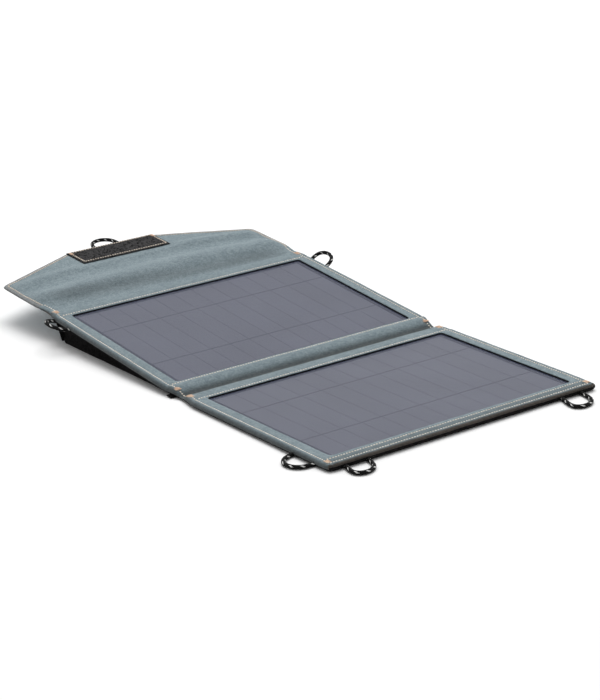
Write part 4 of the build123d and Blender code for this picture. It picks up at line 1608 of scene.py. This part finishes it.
def cord_loop(name, material):
    """One hanging loop of braided cord, sewn into its edge at both ends."""
    body, root, outward, lift, shape, length = LOOPS[name]
    place = PLACES[body]
    across, out, normal = loop_frame(place, outward, radians(lift))
    base = place.at(*root)
    route = [base + (across * x + out * y) * MM for x, y in loop_route(*shape)]
    path = spline_points(name, route)
    loop = show(name + "_cord", cord_mesh(name, path, normal), material)
    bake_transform(loop)
    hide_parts(name)


# ---- window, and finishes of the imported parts


def film_sheet(body, place, material):
    """Clear film that lies over the cells."""
    across = steps(-WINDOW_HALF - FILM_OVERLAP, WINDOW_HALF + FILM_OVERLAP, 36)
    along = steps(WINDOW_NEAR - FILM_OVERLAP, WINDOW_FAR + FILM_OVERLAP, 24)
    grid = [[place.at(x, y, FILM_TOP) for x in across] for y in along]
    attach(surface(body + "_film", grid, UP, material), body, "clear_film", body + "_top_film")


def window_outline(grow):
    """Rounded outline of the window, grown on every side, first point repeated at the end."""
    radius = WINDOW_ROUNDING
    points = []
    for quarter, (sx, sy) in enumerate(((1, 1), (-1, 1), (-1, -1), (1, -1))):
        for turn in steps(pi / 2 * quarter, pi / 2 * (quarter + 1), 6):
            x = sx * (WINDOW_HALF - radius) + (radius + grow) * cos(turn)
            y = sy * (WINDOW_HALF_LENGTH - radius) + (radius + grow) * sin(turn)
            points.append((x, WINDOW_MIDDLE + y))
    return [*points, points[0]]


def window_lip(body, place, material):
    """Black edging that shows as a thin wall round the inside of the window."""
    rows = [[place.at(x, y, z) for x, y in window_outline(grow)] for grow, z in EDGING]
    made = surface(body + "_window_edging", rows, UP, material)
    attach(made, body, "black_trim", body + "_window_trim")


def finish_nodes():
    """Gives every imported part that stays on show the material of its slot."""
    finishes = {
        "solar_cell": silicon(),
        "tinned_ribbon": solid("ribbon", *RIBBON_COLOURS, 0.5, 3.0, 0.02, Specular_IOR_Level=0.35),
        "backsheet": solid("backsheet", *SHEET_COLOURS, 0.5, 4.0, 0.03, Specular_IOR_Level=0.06),
        "stiffener_board": solid("stiffener", *BOARD_COLOURS, 0.7, 2.0, 0.05),
        "wire_insulation": solid("wire", *PLASTIC_COLOURS, 0.45, 1.5, 0.03),
        "case_plastic": solid("case_plastic", *PLASTIC_COLOURS, 0.5, 0.5, 0.06),
        "circuit_board": solid("board", *CIRCUIT_COLOURS, 0.35, 6.0, 0.05),
        "foam_tape": solid("foam", *FOAM_COLOURS, 0.95, 0.9, 0.2),
        "socket_steel": solid("socket_steel", *STEEL_COLOURS, 0.28, 2.0, 0.02, Metallic=1.0),
        "socket_plastic": solid("socket_plastic", *PLASTIC_COLOURS, 0.3, 1.0, 0.02),
        "lens": solid("lens", *LENS_COLOURS, 0.12, 1.0, 0.01, Transmission_Weight=0.5),
    }
    slots = {part["node"]: part["material_slot"] for part in frame["record"]["subparts"]}
    for name, piece in frame["nodes"].items():
        if not piece.hide_render:
            piece.data.materials.clear()
            piece.data.materials.append(finishes[slots[name]])


# ---- the whole charger

camera()
cord_material = braid()
for loop_name in LOOPS:
    cord_loop(loop_name, cord_material)
studio()

teal = cloth("teal_grey_cloth", (0.146, 0.198, 0.222), (0.284, 0.350, 0.378))
faded = cloth("faded_cloth", (0.170, 0.184, 0.190), (0.318, 0.332, 0.336))
black_cloth = cloth("black_cloth", (0.002, 0.002, 0.002), (0.020, 0.019, 0.019), 0.25, 0.0, 0.06)
cream_thread = thread("cream_thread", (0.86, 0.77, 0.66), (0.98, 0.92, 0.84))
tan_thread = thread("tan_thread", (0.76, 0.62, 0.50), (0.95, 0.85, 0.73))
orange_thread = thread("orange_thread", (0.60, 0.38, 0.26), (0.82, 0.62, 0.46))
hook_tape = tape("hook_tape", (0.002, 0.002, 0.002), (0.055, 0.054, 0.055), 1.6, 1.0)
loop_tape = tape("loop_tape", (0.008, 0.008, 0.009), (0.05, 0.05, 0.052), 2.2, 0.5)
clear_film = film()

panel_covers(teal)
fold_cover(teal)
root_cover(teal)
flap_covers(teal, faded)
backs(black_cloth)
patches(hook_tape, loop_tape)
closure(hook_tape, loop_tape, black_cloth)
pocket(black_cloth)
pocket_tab(black_cloth)
for panel in ("front_panel", "rear_panel"):
    film_sheet(panel, PLACES[panel], clear_film)
    window_lip(panel, PLACES[panel], black_cloth)
stitching(cream_thread, tan_thread, orange_thread)
finish_nodes()
